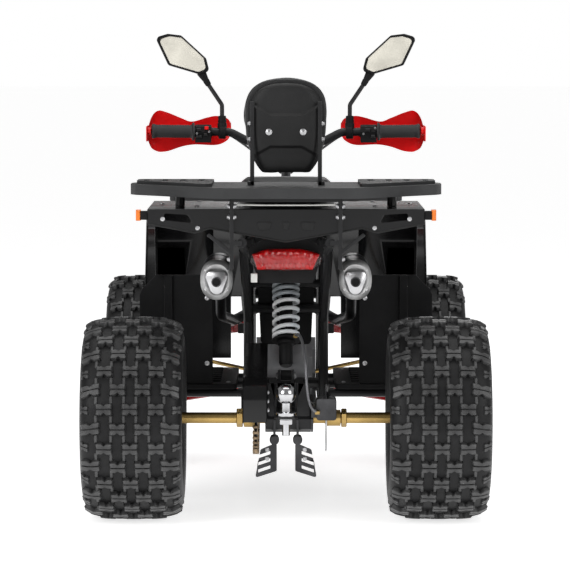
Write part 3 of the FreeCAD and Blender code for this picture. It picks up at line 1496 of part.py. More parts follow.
def front_bumper():
    """Front guard: two bent uprights with three cross tubes."""
    half = bumper_half_width
    foot_x = half * bumper_foot_share
    upright = bent_bar([point(foot_x, front_upright_y + tube_radius * 2 + seat_gap, bumper_low_z),
                        point(foot_x, front_end_y - bumper_radius * 2, bumper_low_z),
                        point(half, front_end_y - bumper_radius, bumper_top_z),
                        point(half, nose_y + arch_lip * 1.5, nose_top_z)], bumper_radius, bend_radius * 0.7)
    pad = slab(foot_x - tube_radius, foot_x + tube_radius, front_upright_y + tube_radius + seat_gap,
               front_upright_y + tube_radius * 2 + seat_gap * 2, bumper_low_z - tube_radius * 2,
               bumper_low_z + tube_radius * 2)
    heights = ((bumper_low_z + bumper_top_z) / 2, bumper_top_z, (bumper_top_z + nose_top_z) / 2)
    places = ((0.9, front_end_y - bumper_radius * 1.5), (1.0, front_end_y - bumper_radius),
              (1.0, (front_end_y - bumper_radius + nose_y + arch_lip * 1.5) / 2))
    tubes = [bar_across(-half * share, half * share, y, z, bumper_radius * 0.9)
             for (share, y), z in zip(places, heights)]
    return joined(both_sides([upright, pad]) + tubes)


def front_rack():
    """Moulded front rack: plate and rim, hollow below, slotted, on four feet."""
    half = front_rack_half_width
    rear = front_rack_rear_y
    front = front_rack_front_y
    outline = [(-half, rear), (-half, front - rack_depth * 3), (-half * 0.5, front), (half * 0.5, front),
               (half, front - rack_depth * 3), (half, rear)]
    block = flat_plate(outline, rack_depth * 1.4, front_rack_top_z - rack_depth, front_rack_top_z)
    wall = rack_wall
    inner = [(-half + wall, rear + wall), (-half + wall, front - rack_depth * 3 - wall / 2),
             (-half * 0.5 + wall / 2, front - wall), (half * 0.5 - wall / 2, front - wall),
             (half - wall, front - rack_depth * 3 - wall / 2), (half - wall, rear + wall)]
    room = flat_plate(inner, rack_depth * 1.4 - wall, front_rack_top_z - rack_depth - overrun,
                      front_rack_top_z - wall)
    pitch = (half - rack_depth * 2) * 2 / front_rack_slot_count
    slots = []
    for index in range(front_rack_slot_count):
        x = -half + rack_depth * 2 + pitch * (index + 0.5)
        slots.append(flat_plate([(x - pitch * 0.15, rear + rack_depth * 2),
                                 (x + pitch * 0.15, rear + rack_depth * 2),
                                 (x + pitch * 0.15, front - rack_depth * 4),
                                 (x - pitch * 0.15, front - rack_depth * 4)],
                                0, front_rack_top_z - rack_depth - overrun, front_rack_top_z + overrun))
    foot_x = half * 0.62
    foot_top = front_rack_top_z - wall
    feet = [bar(point(foot_x, y, arch_top_z + seat_gap), point(foot_x, y, foot_top), support_width)
            for y in (rear + rack_depth * 1.4, arch_front_top_y - rack_depth)]
    return joined([block.cut(room).cut(Part.makeCompound(slots))] + both_sides(feet))


def steering_stem():
    """Inclined steering stem with its pitman plate."""
    top = point(0, clamp_y, clamp_z)
    low = point(0, stem_low_y, stem_low_z)
    foot = low - steer_axis * pitman_thickness
    side = [foot + across * pitman_spread - steer_forward * pitman_reach,
            foot + across * pitman_spread * 0.9 + steer_forward * stem_radius,
            foot - across * pitman_spread * 0.9 + steer_forward * stem_radius,
            foot - across * pitman_spread - steer_forward * pitman_reach]
    plate = rounded_face([side[0] + across * eye_radius - steer_forward * eye_radius, side[1], side[2],
                          side[3] - across * eye_radius - steer_forward * eye_radius], eye_radius)
    plate = plate.extrude(steer_axis * pitman_thickness)
    pins = []
    for end in (-1, 1):
        place = pitman_pin(end)
        pins.append(bar(place, place + steer_axis * (pitman_thickness + pin_collar + eye_thickness),
                        rod_pin_radius))
        pins.append(bar(place, place + steer_axis * (pitman_thickness + pin_collar - seat_gap),
                        eye_radius * 0.7))
    return joined([shaft(foot, top, stem_radius), plate] + pins)


def pitman_pin(side):
    """Foot of the pitman plate's pin on one side; the rod's eye sits above the plate."""
    low = point(0, stem_low_y, stem_low_z) - steer_axis * pitman_thickness
    return low + across * side * pitman_spread - steer_forward * pitman_reach


def handlebar():
    """Raised and swept bar with its split clamp on the stem."""
    centre = point(0, clamp_y, clamp_z) + steer_axis * clamp_height * 0.6
    grip_z = centre.z + bar_rise
    path = [point(0, centre.y, centre.z), point(bar_flat, centre.y, centre.z),
            point(bar_rise_x, centre.y - bar_sweep * 0.2, grip_z - bar_rise * 0.06),
            point(bar_half_width, centre.y - bar_sweep, grip_z)]
    half_bar = bent_bar(path, bar_radius, bar_bend)
    base = point(0, clamp_y, clamp_z)
    corner = base - across * clamp_width / 2 - steer_forward * clamp_depth / 2
    face = Part.makePolygon([corner, corner + across * clamp_width,
                             corner + across * clamp_width + steer_forward * clamp_depth,
                             corner + steer_forward * clamp_depth, corner])
    block = Part.Face(face).extrude(steer_axis * clamp_height)
    return joined([half_bar, mirrored(half_bar), block])


def bar_line(x):
    """The bar's centre line at a distance from the middle, past the rise."""
    centre = point(0, clamp_y, clamp_z) + steer_axis * clamp_height * 0.6
    share = (x - bar_rise_x) / (bar_half_width - bar_rise_x)
    start = point(bar_rise_x, centre.y - bar_sweep * 0.2, centre.z + bar_rise * 0.94)
    end = point(bar_half_width, centre.y - bar_sweep, centre.z + bar_rise)
    return start + (end - start) * share


def grips():
    """Rubber grips with an end flange, on the bar's ends."""
    start = bar_line(grip_inner_x)
    axis = (bar_line(bar_half_width) - start).normalize()
    flange = grip_radius * 0.35
    bore = hole_radius(bar_radius + seat_gap)
    sleeve = turned([(0, bore), (0, grip_radius + flange), (flange, grip_radius + flange),
                     (flange * 2, grip_radius), (grip_length, grip_radius), (grip_length, bore)],
                    start, axis, bar_sides)
    return both_sides([sleeve])


def bar_controls():
    """Switch and throttle housings, and the brake levers on their perches, both sides."""
    inner = bar_line(grip_inner_x - perch_length - seat_gap)
    outer = bar_line(grip_inner_x - moving_gap / 2)
    house = bar(inner, outer, perch_width / 2)
    box = slab(inner.x, outer.x, inner.y - perch_width / 2, inner.y + perch_width / 2,
               inner.z - perch_width * 0.75, inner.z)
    bore = bar(bar_line(bar_rise_x), bar_line(bar_half_width), hole_radius(bar_radius))
    lever_y = inner.y + lever_reach
    arm = slab(inner.x, inner.x + perch_length * 0.6, inner.y + perch_width * 0.3,
               lever_y + lever_thickness, inner.z - lever_thickness, inner.z + lever_thickness)
    lever = flat_plate([(inner.x, lever_y), (inner.x, lever_y - lever_thickness * 2),
                        (inner.x + lever_length * 0.3, lever_y - lever_thickness * 2.2),
                        (inner.x + lever_length, lever_y - lever_thickness * 2.6),
                        (inner.x + lever_length, lever_y - lever_thickness * 1.2),
                        (inner.x + lever_length * 0.3, lever_y - lever_thickness * 0.6)],
                       lever_thickness * 0.4, inner.z - lever_thickness / 2, inner.z + lever_thickness / 2)
    return both_sides([joined([house, box, arm, lever]).cut(bore)])


def hand_guards():
    """Bow-tie shields in front of the grips, folded back to the bar's ends, with their stays."""
    grip = bar_line(grip_inner_x + grip_length / 2)
    front = grip.y + guard_reach
    z = grip.z
    shield = cross_plate([(guard_inner_x, z - guard_inner_bottom * 0.3),
                          (guard_inner_x, z + guard_inner_top),
                          (guard_waist_x, z + guard_waist_top),
                          (guard_outer_x - bar_sweep, z + guard_outer_top),
                          (guard_outer_x, z + guard_outer_top * 0.8),
                          (guard_outer_x, z - guard_outer_bottom * 0.8),
                          (guard_outer_x - bar_sweep, z - guard_outer_bottom),
                          (guard_waist_x, z - guard_waist_bottom),
                          (guard_inner_x + bar_sweep, z - guard_inner_bottom)],
                         guard_wall * 2, front - guard_wall, front)
    end = bar_line(bar_half_width)
    fold = slab(guard_outer_x - guard_wall, guard_outer_x, end.y - grip_radius, front,
                z - guard_outer_bottom * 0.5, z + guard_outer_top * 0.5)
    tip = bar(end + across * seat_gap * 6, point(guard_outer_x, end.y, end.z), bar_radius)
    stay_x = mirror_clamp_x + mirror_boot_radius * 2
    stay_end = bar_line(stay_x)
    stay = slab(stay_x - guard_wall * 2, stay_x + guard_wall * 2, stay_end.y + bar_radius + seat_gap,
                front - guard_wall, stay_end.z - guard_wall * 2, stay_end.z + guard_wall * 2)
    handle = bar(bar_line(bar_rise_x), end, hole_radius(bar_radius))
    return both_sides([joined([shield, fold, tip, stay]).cut(handle)])


def mirror_corners(inset):
    """The mirror head's outline, moved inward by inset toward its middle."""
    width = mirror_outer_x - mirror_inner_x
    corners = [(mirror_inner_x + width * x_share, mirror_top_z - mirror_height * (1 - z_share))
               for x_share, z_share in mirror_outline_shares]
    middle_x = sum(x for x, z in corners) / len(corners)
    middle_z = sum(z for x, z in corners) / len(corners)
    moved = []
    for x, z in corners:
        reach = math.hypot(x - middle_x, z - middle_z)
        moved.append((middle_x + (x - middle_x) * (reach - inset) / reach,
                      middle_z + (z - middle_z) * (reach - inset) / reach))
    return moved


def mirror_back_y():
    return bar_line(mirror_clamp_x).y - mirror_stem_radius


def mirrors():
    """Mirror heads with their frames, boots, stems and bar clamps."""
    back = mirror_back_y()
    head = cross_plate(mirror_corners(0), mirror_rim * 1.6, back, back + mirror_depth)
    recess = cross_plate(mirror_corners(mirror_rim), mirror_rim, back - overrun, back + mirror_rim * 0.6)
    seat_on = bar_line(mirror_clamp_x)
    clamp = bar(seat_on - across * mirror_boot_radius, seat_on + across * mirror_boot_radius,
                bar_radius * 1.7)
    clamp = clamp.cut(bar(bar_line(bar_rise_x), bar_line(bar_half_width), hole_radius(bar_radius)))
    foot = point(mirror_clamp_x, seat_on.y, seat_on.z + bar_radius * 1.4)
    boot_top = point(mirror_clamp_x, seat_on.y, mirror_foot_z)
    neck = point(mirror_neck_x, back + mirror_depth * 0.6, mirror_neck_z)
    stem = bent_bar([foot, boot_top, neck, point(mirror_neck_x + mirror_depth, back + mirror_depth * 0.6,
                     mirror_neck_z + mirror_depth * 1.7)], mirror_stem_radius, mirror_boot_radius * 1.4)
    boot = skin([ring_points(foot, upward, mirror_boot_radius * 1.4, bar_sides),
                 ring_points(boot_top, upward, mirror_boot_radius, bar_sides)])
    return both_sides([joined([head.cut(recess), clamp, boot, stem])])


def mirror_glass():
    """Reflecting plates set in the mirror heads."""
    back = mirror_back_y()
    glass = cross_plate(mirror_corners(mirror_rim + seat_gap * 2), mirror_rim * 0.9,
                        back + mirror_rim * 0.2, back + mirror_rim * 0.6 - seat_gap / 3)
    return both_sides([glass])


def knuckle():
    """Right knuckle: kingpin post, spindle and the steering arm behind it."""
    gap = socket_half_height + stud_radius + moving_gap / 2
    low = point(kingpin_x, front_axle_y, front_axle_z - knuckle_half_height + gap)
    high = point(kingpin_x, front_axle_y, front_axle_z + knuckle_half_height - gap)
    spindle = shaft_across(kingpin_x, spindle_end(), front_axle_y, front_axle_z, spindle_radius)
    boss = bar_across(kingpin_x, kingpin_x + knuckle_boss_length, front_axle_y, front_axle_z,
                      knuckle_boss_radius)
    arm_top = tie_rod_outer().z - eye_thickness / 2 - pin_collar
    pin_y = front_axle_y - steer_arm_reach
    half = knuckle_radius * 0.8
    arm = flat_plate([(kingpin_x - half, front_axle_y), (kingpin_x + half, front_axle_y),
                      (rod_pin_x + eye_radius, pin_y - eye_radius),
                      (rod_pin_x - eye_radius, pin_y - eye_radius)],
                     [0, 0, eye_radius * 0.8, eye_radius * 0.8], arm_top - pitman_thickness, arm_top)
    pin_foot = point(rod_pin_x, pin_y, arm_top - pitman_thickness)
    pin_length = pitman_thickness + pin_collar + eye_thickness + rod_eye_rise
    pin = bar(pin_foot, pin_foot + upward * pin_length, rod_pin_radius)
    stud_end = upward * (gap - socket_half_height - seat_gap)
    stud = bar(low - stud_end, high + stud_end, stud_radius)
    return joined([bar(low, high, knuckle_radius), stud, spindle, boss, arm, pin])


def pitman_eye():
    """Centre of the tie rod's inner eye, above the pitman plate."""
    return pitman_pin(1) + steer_axis * (pitman_thickness + pin_collar + eye_thickness / 2)


def tie_rod_outer():
    """Centre of the outer eye, placed so that the rod runs parallel to the pitman plate."""
    inner = pitman_eye()
    reach = point(0, front_axle_y - steer_arm_reach - inner.y, 0)
    return point(rod_pin_x, front_axle_y - steer_arm_reach, inner.z - reach.dot(steer_axis) / steer_axis.z)


def tie_rod():
    """Right tie rod with its inner eye on the pitman pin and its outer eye round the knuckle's pin."""
    inner = pitman_eye()
    outer = tie_rod_outer()
    way = (outer - inner).normalize()
    half = eye_thickness / 2
    inner_eye = bar(inner - steer_axis * half, inner + steer_axis * half, eye_radius)
    outer_eye = bar(outer - upward * half, outer + upward * half, eye_radius)
    rod = bar(inner + way * eye_radius * 0.8, outer - way * eye_radius * 0.8, tie_rod_radius * 0.8)
    inner_bore = shaft_hole(inner - steer_axis * eye_thickness, inner + steer_axis * eye_thickness,
                            rod_pin_radius)
    outer_bore = bar(outer - upward * eye_thickness, outer + upward * eye_thickness,
                     rod_pin_radius + rod_pin_clearance)
    return joined([inner_eye, outer_eye, rod]).cut(inner_bore).cut(outer_bore)


def tyre(x, y, z, diameter, width):
    """Tyre ring turned about its axle from a section given in shares."""
    depth = (diameter - rim_diameter) / 2
    bead = rim_diameter / 2
    bead_x = width / 2 * bead_width_share
    right = [(bead_x, bead), (bead_x, bead + rim_lip + seat_gap)]
    right += [(width / 2 * width_share, bead + depth * depth_share)
              for depth_share, width_share in tyre_section_shares]
    left = [(-distance, radius) for distance, radius in reversed(right)]
    return turned(right + left, point(x, y, z), across, wheel_sides)


def rim(x, y, z, width, inner_face):
    """Rim: barrel with lips, and a dished face that starts at inner_face."""
    radius = rim_diameter / 2
    half = width / 2 * bead_width_share
    lip = radius + rim_lip
    well = radius - rim_wall * 2
    low = inner_face - x
    face = max(low + hub_flange * 2, half / 3)
    profile = [(-half - rim_wall, well), (-half - rim_wall, lip), (-half - seat_gap, lip),
               (-half - seat_gap, radius - seat_gap), (half + seat_gap, radius - seat_gap),
               (half + seat_gap, lip), (half + rim_wall, lip), (half + rim_wall, well),
               (face + rim_face, well),
               (low + rim_face * 2, hub_radius), (low + rim_face * 2, 0), (low, 0), (low, hub_radius),
               (face, well)]
    return turned(profile, point(x, y, z), across, wheel_sides)


def rear_rim():
    return rim(rear_wheel_x, rear_axle_y, rear_axle_z, rear_tyre_width, axle_hub_x + seat_gap)


def spindle_end():
    """Outer end of the front wheel's spindle."""
    return front_wheel_x + spindle_reach


def front_rim():
    """Front rim with its hub and cap on the spindle."""
    inner_face = front_wheel_x - spindle_reach
    body = rim(front_wheel_x, front_axle_y, front_axle_z, front_tyre_width, inner_face)
    start = kingpin_x + knuckle_boss_length + moving_gap
    end = spindle_end() + moving_gap
    hub = bar_across(start, inner_face + rim_face, front_axle_y, front_axle_z, front_hub_radius)
    cap = bar_across(inner_face + rim_face, end + rim_face, front_axle_y, front_axle_z,
                     front_hub_radius / 2)
    bore = shaft_hole_across(start - overrun, end, front_axle_y, front_axle_z, spindle_radius)
    return joined([body, hub, cap]).cut(bore)


def write_node(name, shapes):
    """Write one node from one solid or several that do not touch."""
    shapes = shapes if isinstance(shapes, list) else [shapes]
    solids = [solid for shape in shapes for solid in shape.Solids]
    shape = solids[0] if len(solids) == 1 else Part.makeCompound(solids)
    shape.exportStep("parts/" + name + ".step")


def main():
    os.makedirs("parts", exist_ok=True)
    main_frame = frame()
    right_knuckle = knuckle()
    right_rod = tie_rod()
    right_tyre = tyre(front_wheel_x, front_axle_y, front_axle_z, front_tyre_diameter, front_tyre_width)
    right_rim = front_rim()
    rear_tyre = tyre(rear_wheel_x, rear_axle_y, rear_axle_z, rear_tyre_diameter, rear_tyre_width)
    shapes = {
        "frame": main_frame, "skid_plate": skid_plate(), "engine": joined([engine(), output_shaft()]),
        "engine_sprocket": engine_sprocket(), "air_box": air_box(),
        "exhausts": both_sides([exhaust()]), "swingarm": swingarm(), "rear_shock": rear_shock(),
        "rear_spring": rear_spring(),
        "chain": chain(), "chain_guard": chain_guard(), "guard_plates": guard_plates(),
        "brake_caliper": brake_caliper(), "hitch_plate": hitch_plate(), "hitch_ball": hitch_ball(),
        "rear_fender": rear_fender(), "splash_panels": splash_panels(), "footboards": footboards(),
        "side_bars": side_bars(), "rear_rack": rear_rack(),
        "rack_supports": [piece.cut(main_frame) for piece in rack_supports()],
        "backrest_shell": backrest_shell(), "backrest_pad": backrest_pad(), "seat": seat(),
        "tail_light": tail_light(), "tail_panel": tail_panel().cut(main_frame), "indicators": indicators(),
        "body_cover": body_cover(), "front_fender": front_fender(), "nose_panel": nose_panel(),
        "grille": grille(), "headlights": headlights(), "front_bumper": front_bumper(),
        "front_rack": front_rack(), "front_arms": front_arms(), "front_shocks": front_shocks(),
        "front_springs": front_springs(),
        "steering_stem": steering_stem(), "handlebar": handlebar(), "grips": grips(),
        "bar_controls": bar_controls(), "hand_guards": hand_guards(), "mirrors": mirrors(),
        "mirror_glass": mirror_glass(),
        "knuckle_right": right_knuckle, "knuckle_left": mirrored(right_knuckle),
        "tie_rod_right": right_rod, "tie_rod_left": mirrored(right_rod),
        "front_tyre_right": right_tyre, "front_tyre_left": mirrored(right_tyre),
        "front_rim_right": right_rim, "front_rim_left": mirrored(right_rim),
        "rear_axle": rear_axle(), "rear_rims": both_sides([rear_rim()]),
        "rear_tyres": both_sides([rear_tyre]),
        "axle_sprocket": axle_sprocket(), "brake_disc": brake_disc(),
    }
    for name, shape in shapes.items():
        write_node(name, shape)


main()
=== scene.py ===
import json
import math
import bmesh
import bpy
import numpy as np
from mathutils import Matrix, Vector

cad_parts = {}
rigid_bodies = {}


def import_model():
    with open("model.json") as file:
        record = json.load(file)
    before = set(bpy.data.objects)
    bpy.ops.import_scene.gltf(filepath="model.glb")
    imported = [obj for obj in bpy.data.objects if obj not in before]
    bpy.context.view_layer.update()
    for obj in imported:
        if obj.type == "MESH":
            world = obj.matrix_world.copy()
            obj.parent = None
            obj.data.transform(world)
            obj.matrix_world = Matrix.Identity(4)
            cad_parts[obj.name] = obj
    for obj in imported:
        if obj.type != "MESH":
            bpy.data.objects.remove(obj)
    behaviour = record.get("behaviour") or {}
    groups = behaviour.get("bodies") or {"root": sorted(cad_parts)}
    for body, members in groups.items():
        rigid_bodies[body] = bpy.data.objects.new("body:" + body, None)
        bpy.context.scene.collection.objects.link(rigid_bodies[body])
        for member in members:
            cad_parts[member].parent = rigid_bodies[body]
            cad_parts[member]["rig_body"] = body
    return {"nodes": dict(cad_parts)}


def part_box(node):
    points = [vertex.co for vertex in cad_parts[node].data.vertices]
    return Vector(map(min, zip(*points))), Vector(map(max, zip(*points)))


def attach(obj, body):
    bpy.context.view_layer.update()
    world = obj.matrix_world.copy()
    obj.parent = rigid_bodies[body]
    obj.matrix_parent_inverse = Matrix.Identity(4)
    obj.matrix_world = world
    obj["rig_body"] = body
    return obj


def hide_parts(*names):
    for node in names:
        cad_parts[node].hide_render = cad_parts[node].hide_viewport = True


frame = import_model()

# Quad bike dressed for the studio, in metres: +Y forward, +X the rider's right, floor at z = 0
nodes = frame["nodes"]
scene = bpy.context.scene
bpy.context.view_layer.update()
xAxis, yAxis, zAxis = (1, 0, 0), (0, 1, 0), (0, 0, 1)
sides = ("right", "left")
print("stage: frame loaded,", len(nodes), "nodes")


# directions and lines
def unit(rows):  # each row divided by its own length
    rows = np.asarray(rows, float)
    return rows / np.maximum(np.linalg.norm(rows, axis=-1, keepdims=True), 1e-12)


def square(axis):  # two directions square to the axis: axis x nearest-to-square world axis, then axis x that
    axis = unit(axis)
    first = unit(np.cross(axis, np.eye(3)[np.argmin(np.abs(axis))]))
    return first, np.cross(axis, first)


def rounds(count, offset=0.0):  # evenly spaced angles once round
    return np.linspace(0, 2 * math.pi, count, endpoint=False) + offset


def smoothLine(points, steps):
    # Catmull-Rom: half of 2b + (c-a)t + (2a-5b+4c-d)t2 + (3b-a-3c+d)t3 between neighbours b and c
    p = np.asarray(points, float)
    p = np.concatenate([2 * p[:1] - p[1:2], p, 2 * p[-1:] - p[-2:-1]])
    t = np.linspace(0, 1, steps, endpoint=False)[None, :, None]
    a, b, c, d = (p[i:len(p) - 3 + i][:, None, :] for i in range(4))
    line = 0.5 * (2 * b + (c - a) * t + (2 * a - 5 * b + 4 * c - d) * t ** 2 + (3 * b - a - 3 * c + d) * t ** 3)
    return np.concatenate([line.reshape(-1, p.shape[1]), p[-2:-1]])


def roundCorners(corners, radius, steps=6, closed=True):
    # each corner c becomes the arc ((1-k)^2 a + 2wk(1-k) c + k^2 b) / ((1-k)^2 + 2wk(1-k) + k^2), w = sin of half its angle
    c = np.asarray(corners, float)
    before, after = np.roll(c, 1, 0), np.roll(c, -1, 0)
    back, ahead = unit(before - c), unit(after - c)
    half = np.arccos(np.clip((back * ahead).sum(1), -1, 1)) / 2
    room = 0.49 * np.minimum(np.linalg.norm(before - c, axis=1), np.linalg.norm(after - c, axis=1))
    length = np.minimum(np.broadcast_to(radius, half.shape) / np.maximum(np.tan(half), 1e-6), room)[:, None]
    if not closed:
        length[0] = length[-1] = 0
    k = np.linspace(0, 1, steps + 1)[None, :, None]
    w = np.sin(half)[:, None, None]
    a, b = (c + back * length)[:, None], (c + ahead * length)[:, None]
    weight = (1 - k) ** 2 + 2 * w * k * (1 - k) + k ** 2
    line = (((1 - k) ** 2 * a + 2 * w * k * (1 - k) * c[:, None] + k ** 2 * b) / weight).reshape(-1, c.shape[1])
    keep = np.linalg.norm(line - np.roll(line, 1, 0), axis=1) > 1e-6
    keep[0] = not closed or keep[0]
    return line[keep]


def drawnIn(outline, distance):
    # corner + distance * (n1 + n2) / (1 + n1.n2), with n1 and n2 the inward normals of its two edges
    p = np.asarray(outline, float)
    edge = unit(np.roll(p, -1, 0) - p)
    area = (p[:, 0] * np.roll(p, -1, 0)[:, 1] - p[:, 1] * np.roll(p, -1, 0)[:, 0]).sum()
    ahead = np.stack([-edge[:, 1], edge[:, 0]], 1) * (1 if area > 0 else -1)
    back = np.roll(ahead, 1, 0)
    return p + distance * (back + ahead) / np.maximum(1 + (back * ahead).sum(1, keepdims=True), 0.3)


# shells: points and lists of faces
def gridShell(points, closeRows=False, closeCols=True, lids=False):
    # a rows x cols grid of points; each face joins a point with its neighbours on the next row and column
    rows, cols = points.shape[:2]
    index = np.arange(rows * cols).reshape(rows, cols)
    nextRow, nextCol = np.roll(index, -1, 0), np.roll(index, -1, 1)
    quads = np.stack([index, nextCol, np.roll(nextRow, -1, 1), nextRow], -1)
    quads = quads[:rows if closeRows else rows - 1, :cols if closeCols else cols - 1].reshape(-1, 4)
    return points.reshape(-1, 3), [quads] + ([index[:1], index[-1:]] if lids else [])


def walled(front, back):  # a front and a back grid joined round, closed at both ends
    return gridShell(np.concatenate([front, back[:, ::-1]], 1), lids=True)


def lathe(profile, centre, axis, segments=32, closed=False):
    # point = centre + axis * along + radius * (u cos t + v sin t), for each (along, radius) and each turn t
    profile = np.asarray(profile, float)
    axis = unit(axis)
    u, v = square(axis)
    t = rounds(segments)
    spokes = np.cos(t)[:, None] * u + np.sin(t)[:, None] * v
    points = np.asarray(centre) + profile[:, None, :1] * axis + profile[:, None, 1:] * spokes[None]
    return gridShell(points, closeRows=closed, lids=not closed)


def drum(low, high, radius, centre, axis, segments=24):  # a plain turned length
    return lathe([(low, 0), (low, radius), (high, radius), (high, 0)], centre, axis, segments)


def tubeShell(path, radius, sides=14):
    # a ring at each station: path + radius * (u cos t + v sin t), with u carried on by dropping its part along the run
    path = np.asarray(path, float)
    runs = unit(np.diff(path, axis=0))
    ways = unit(np.concatenate([runs[:1], runs[:-1] + runs[1:], runs[-1:]]))
    u = np.zeros_like(path)
    u[0] = square(ways[0])[0]
    for i in range(1, len(path)):
        u[i] = unit(u[i - 1] - ways[i] * np.dot(u[i - 1], ways[i]))
    v = np.cross(ways, u)
    t = rounds(sides)[None, :, None]
    return gridShell(path[:, None] + radius * (np.cos(t) * u[:, None] + np.sin(t) * v[:, None]), lids=True)


planes = {"x": (1, 2, 0), "y": (0, 2, 1), "z": (0, 1, 2)}


def plateShell(outline, plane, low, high, edge=0.001):
    # four rings of one outline: drawn in at the low face, full, full, drawn in at the high face
    small = drawnIn(outline, edge)
    points = np.zeros((4, len(outline), 3))
    for row, line, level in zip(points, (small, outline, outline, small), (low, low + edge, high - edge, high)):
        row[:, planes[plane][:2]] = line
        row[:, planes[plane][2]] = level
    return gridShell(points, lids=True)


def blockShell(centre, half, edge=0.001, plane="z", bend=0.0015):  # a plate of four rounded corners
    centre, half = np.asarray(centre, float), np.asarray(half, float)
    a, b, c = planes[plane]
    corners = np.array([(-1, -1), (1, -1), (1, 1), (-1, 1)]) * half[[a, b]] + centre[[a, b]]
    return plateShell(roundCorners(corners, bend, 3), plane, centre[c] - half[c], centre[c] + half[c], edge)


def repeated(shell, turns, places):  # every copy is turn * point + place
    points, faces = shell
    copies = np.einsum("kij,nj->kni", np.asarray(turns, float), points) + np.asarray(places, float)[:, None]
    step = np.arange(len(copies))[:, None, None] * len(points)
    return copies.reshape(-1, 3), [(f[None] + step).reshape(-1, f.shape[1]) for f in faces]


def placed(shell, places):  # the same shell moved to each place
    return repeated(shell, np.broadcast_to(np.eye(3), (len(places), 3, 3)), places)


def mirrored(shell):  # x changes sign
    return shell[0] * [-1, 1, 1], shell[1]


def bothSides(*shells):  # each shell, then its mirror image
    return [s for shell in shells for s in (shell, mirrored(shell))]


def sided(shells, side):  # right-hand shells, mirrored for the left
    return [mirrored(s) if side == "left" else s for s in shells]


def boltShells(places, axis, radius=0.006, height=0.004):
    # a low hexagon with a washer under it, at each place
    head = [(0.001, 0), (0.001, radius), (height * 0.85, radius), (height, radius * 0.8), (height, 0)]
    washer = [(-0.001, 0), (-0.001, radius * 1.35), (0.0012, radius * 1.35), (0.0016, radius * 1.2), (0.0016, 0)]
    return [placed(lathe(line, (0, 0, 0), axis, sides), places) for line, sides in ((head, 6), (washer, 14))]


# pieces
def pointsOf(mesh):  # one row of x, y and z for each vertex
    co = np.empty(len(mesh.vertices) * 3, np.float32)
    mesh.vertices.foreach_get("co", co)
    return co.reshape(-1, 3)


def movePoints(mesh, points):  # the same rows, put back
    mesh.vertices.foreach_set("co", points.astype(np.float32).ravel())


def meshFrom(name, shells):
    # the shells laid end to end in one mesh, each corner's number raised by the points before it
    points = np.concatenate([s[0] for s in shells])
    loops, starts, total, base = [], [], 0, 0
    for verts, faceSets in shells:
        for faces in faceSets:
            loops.append((faces + base).ravel())
            starts.append(total + np.arange(len(faces)) * faces.shape[1])
            total += faces.size
        base += len(verts)
    mesh = bpy.data.meshes.new(name)
    mesh.vertices.add(len(points))
    movePoints(mesh, points)
    mesh.loops.add(total)
    mesh.loops.foreach_set("vertex_index", np.concatenate(loops).astype(np.int32))
    starts = np.concatenate(starts).astype(np.int32)
    mesh.polygons.add(len(starts))
    mesh.polygons.foreach_set("loop_start", starts)
    mesh.update(calc_edges=True)
    work = bmesh.new()
    work.from_mesh(mesh)
    bmesh.ops.remove_doubles(work, verts=work.verts, dist=1e-5)
    bmesh.ops.recalc_face_normals(work, faces=work.faces)
    work.to_mesh(mesh)
    work.free()
    return mesh


def newObject(name, data):  # linked to the scene
    piece = bpy.data.objects.new(name, data)
    scene.collection.objects.link(piece)
    return piece


def settle(piece, like, look, stands=(), angle=40):
    # the piece takes its finish, rides the body of the node it is like, and stands for the nodes it replaces
    material, slotName = looks[look]
    piece.data.materials.clear()
    piece.data.materials.append(material)
    if piece.type == "MESH":
        piece.data.shade_smooth()
        piece.data.set_sharp_from_angle(angle=math.radians(angle))
    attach(piece, nodes[like]["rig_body"])
    if stands:
        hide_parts(*stands)
    return piece


def addPiece(name, like, look, shells, stands=(), angle=40):  # a new mesh of these shells, settled
    return settle(newObject(name, meshFrom(name, shells)), like, look, stands, angle)


pierced = ("hitch_plate", "guard_plates", "brake_disc", "nose_panel", "grille", "rear_fender")  # flat faces with holes in them


def mergedMesh(node, name):  # a copy of a node's mesh with its doubles merged and its whole flat faces joined
    mesh = nodes[node].data.copy()
    mesh.name = name
    for layer in [a.name for a in mesh.attributes if a.name in ("custom_normal", "sharp_face", "sharp_edge")]:
        mesh.attributes.remove(mesh.attributes[layer])
    work = bmesh.new()
    work.from_mesh(mesh)
    bmesh.ops.remove_doubles(work, verts=work.verts, dist=1e-5)
    if node not in pierced:
        bmesh.ops.dissolve_limit(work, angle_limit=math.radians(1), verts=work.verts, edges=work.edges)
    work.to_mesh(mesh)
    work.free()
    return mesh


def softened(node, look, width, segments):
    # the node's own form with rolled edges
    name = node + "_finished"
    piece = newObject(name, mergedMesh(node, name))
    edges = piece.modifiers.new("rolledEdges", "BEVEL")
    edges.width, edges.segments = width, segments
    edges.limit_method, edges.angle_limit = "ANGLE", math.radians(28)
    edges.use_clamp_overlap = node not in pierced
    return settle(piece, node, look, (node,), 35)


# finishes: Object coordinates -> broad patches for colour, fine grain for roughness and bump, dust from above
# the pointiness band of the pale edges: wear, and on the tyre lugs a painted highlight
surface = {"patchFrom": 0.36, "patchTo": 0.64, "cellScale": 0.7, "cellShare": 0.35, "wearAndHighlightFrom": 0.52, "wearAndHighlightTo": 0.62,
           "dustFrom": 0.2, "dustColour": (0.32, 0.3, 0.27, 1), "bumpHeight": 0.0008, "coatRough": 0.08}


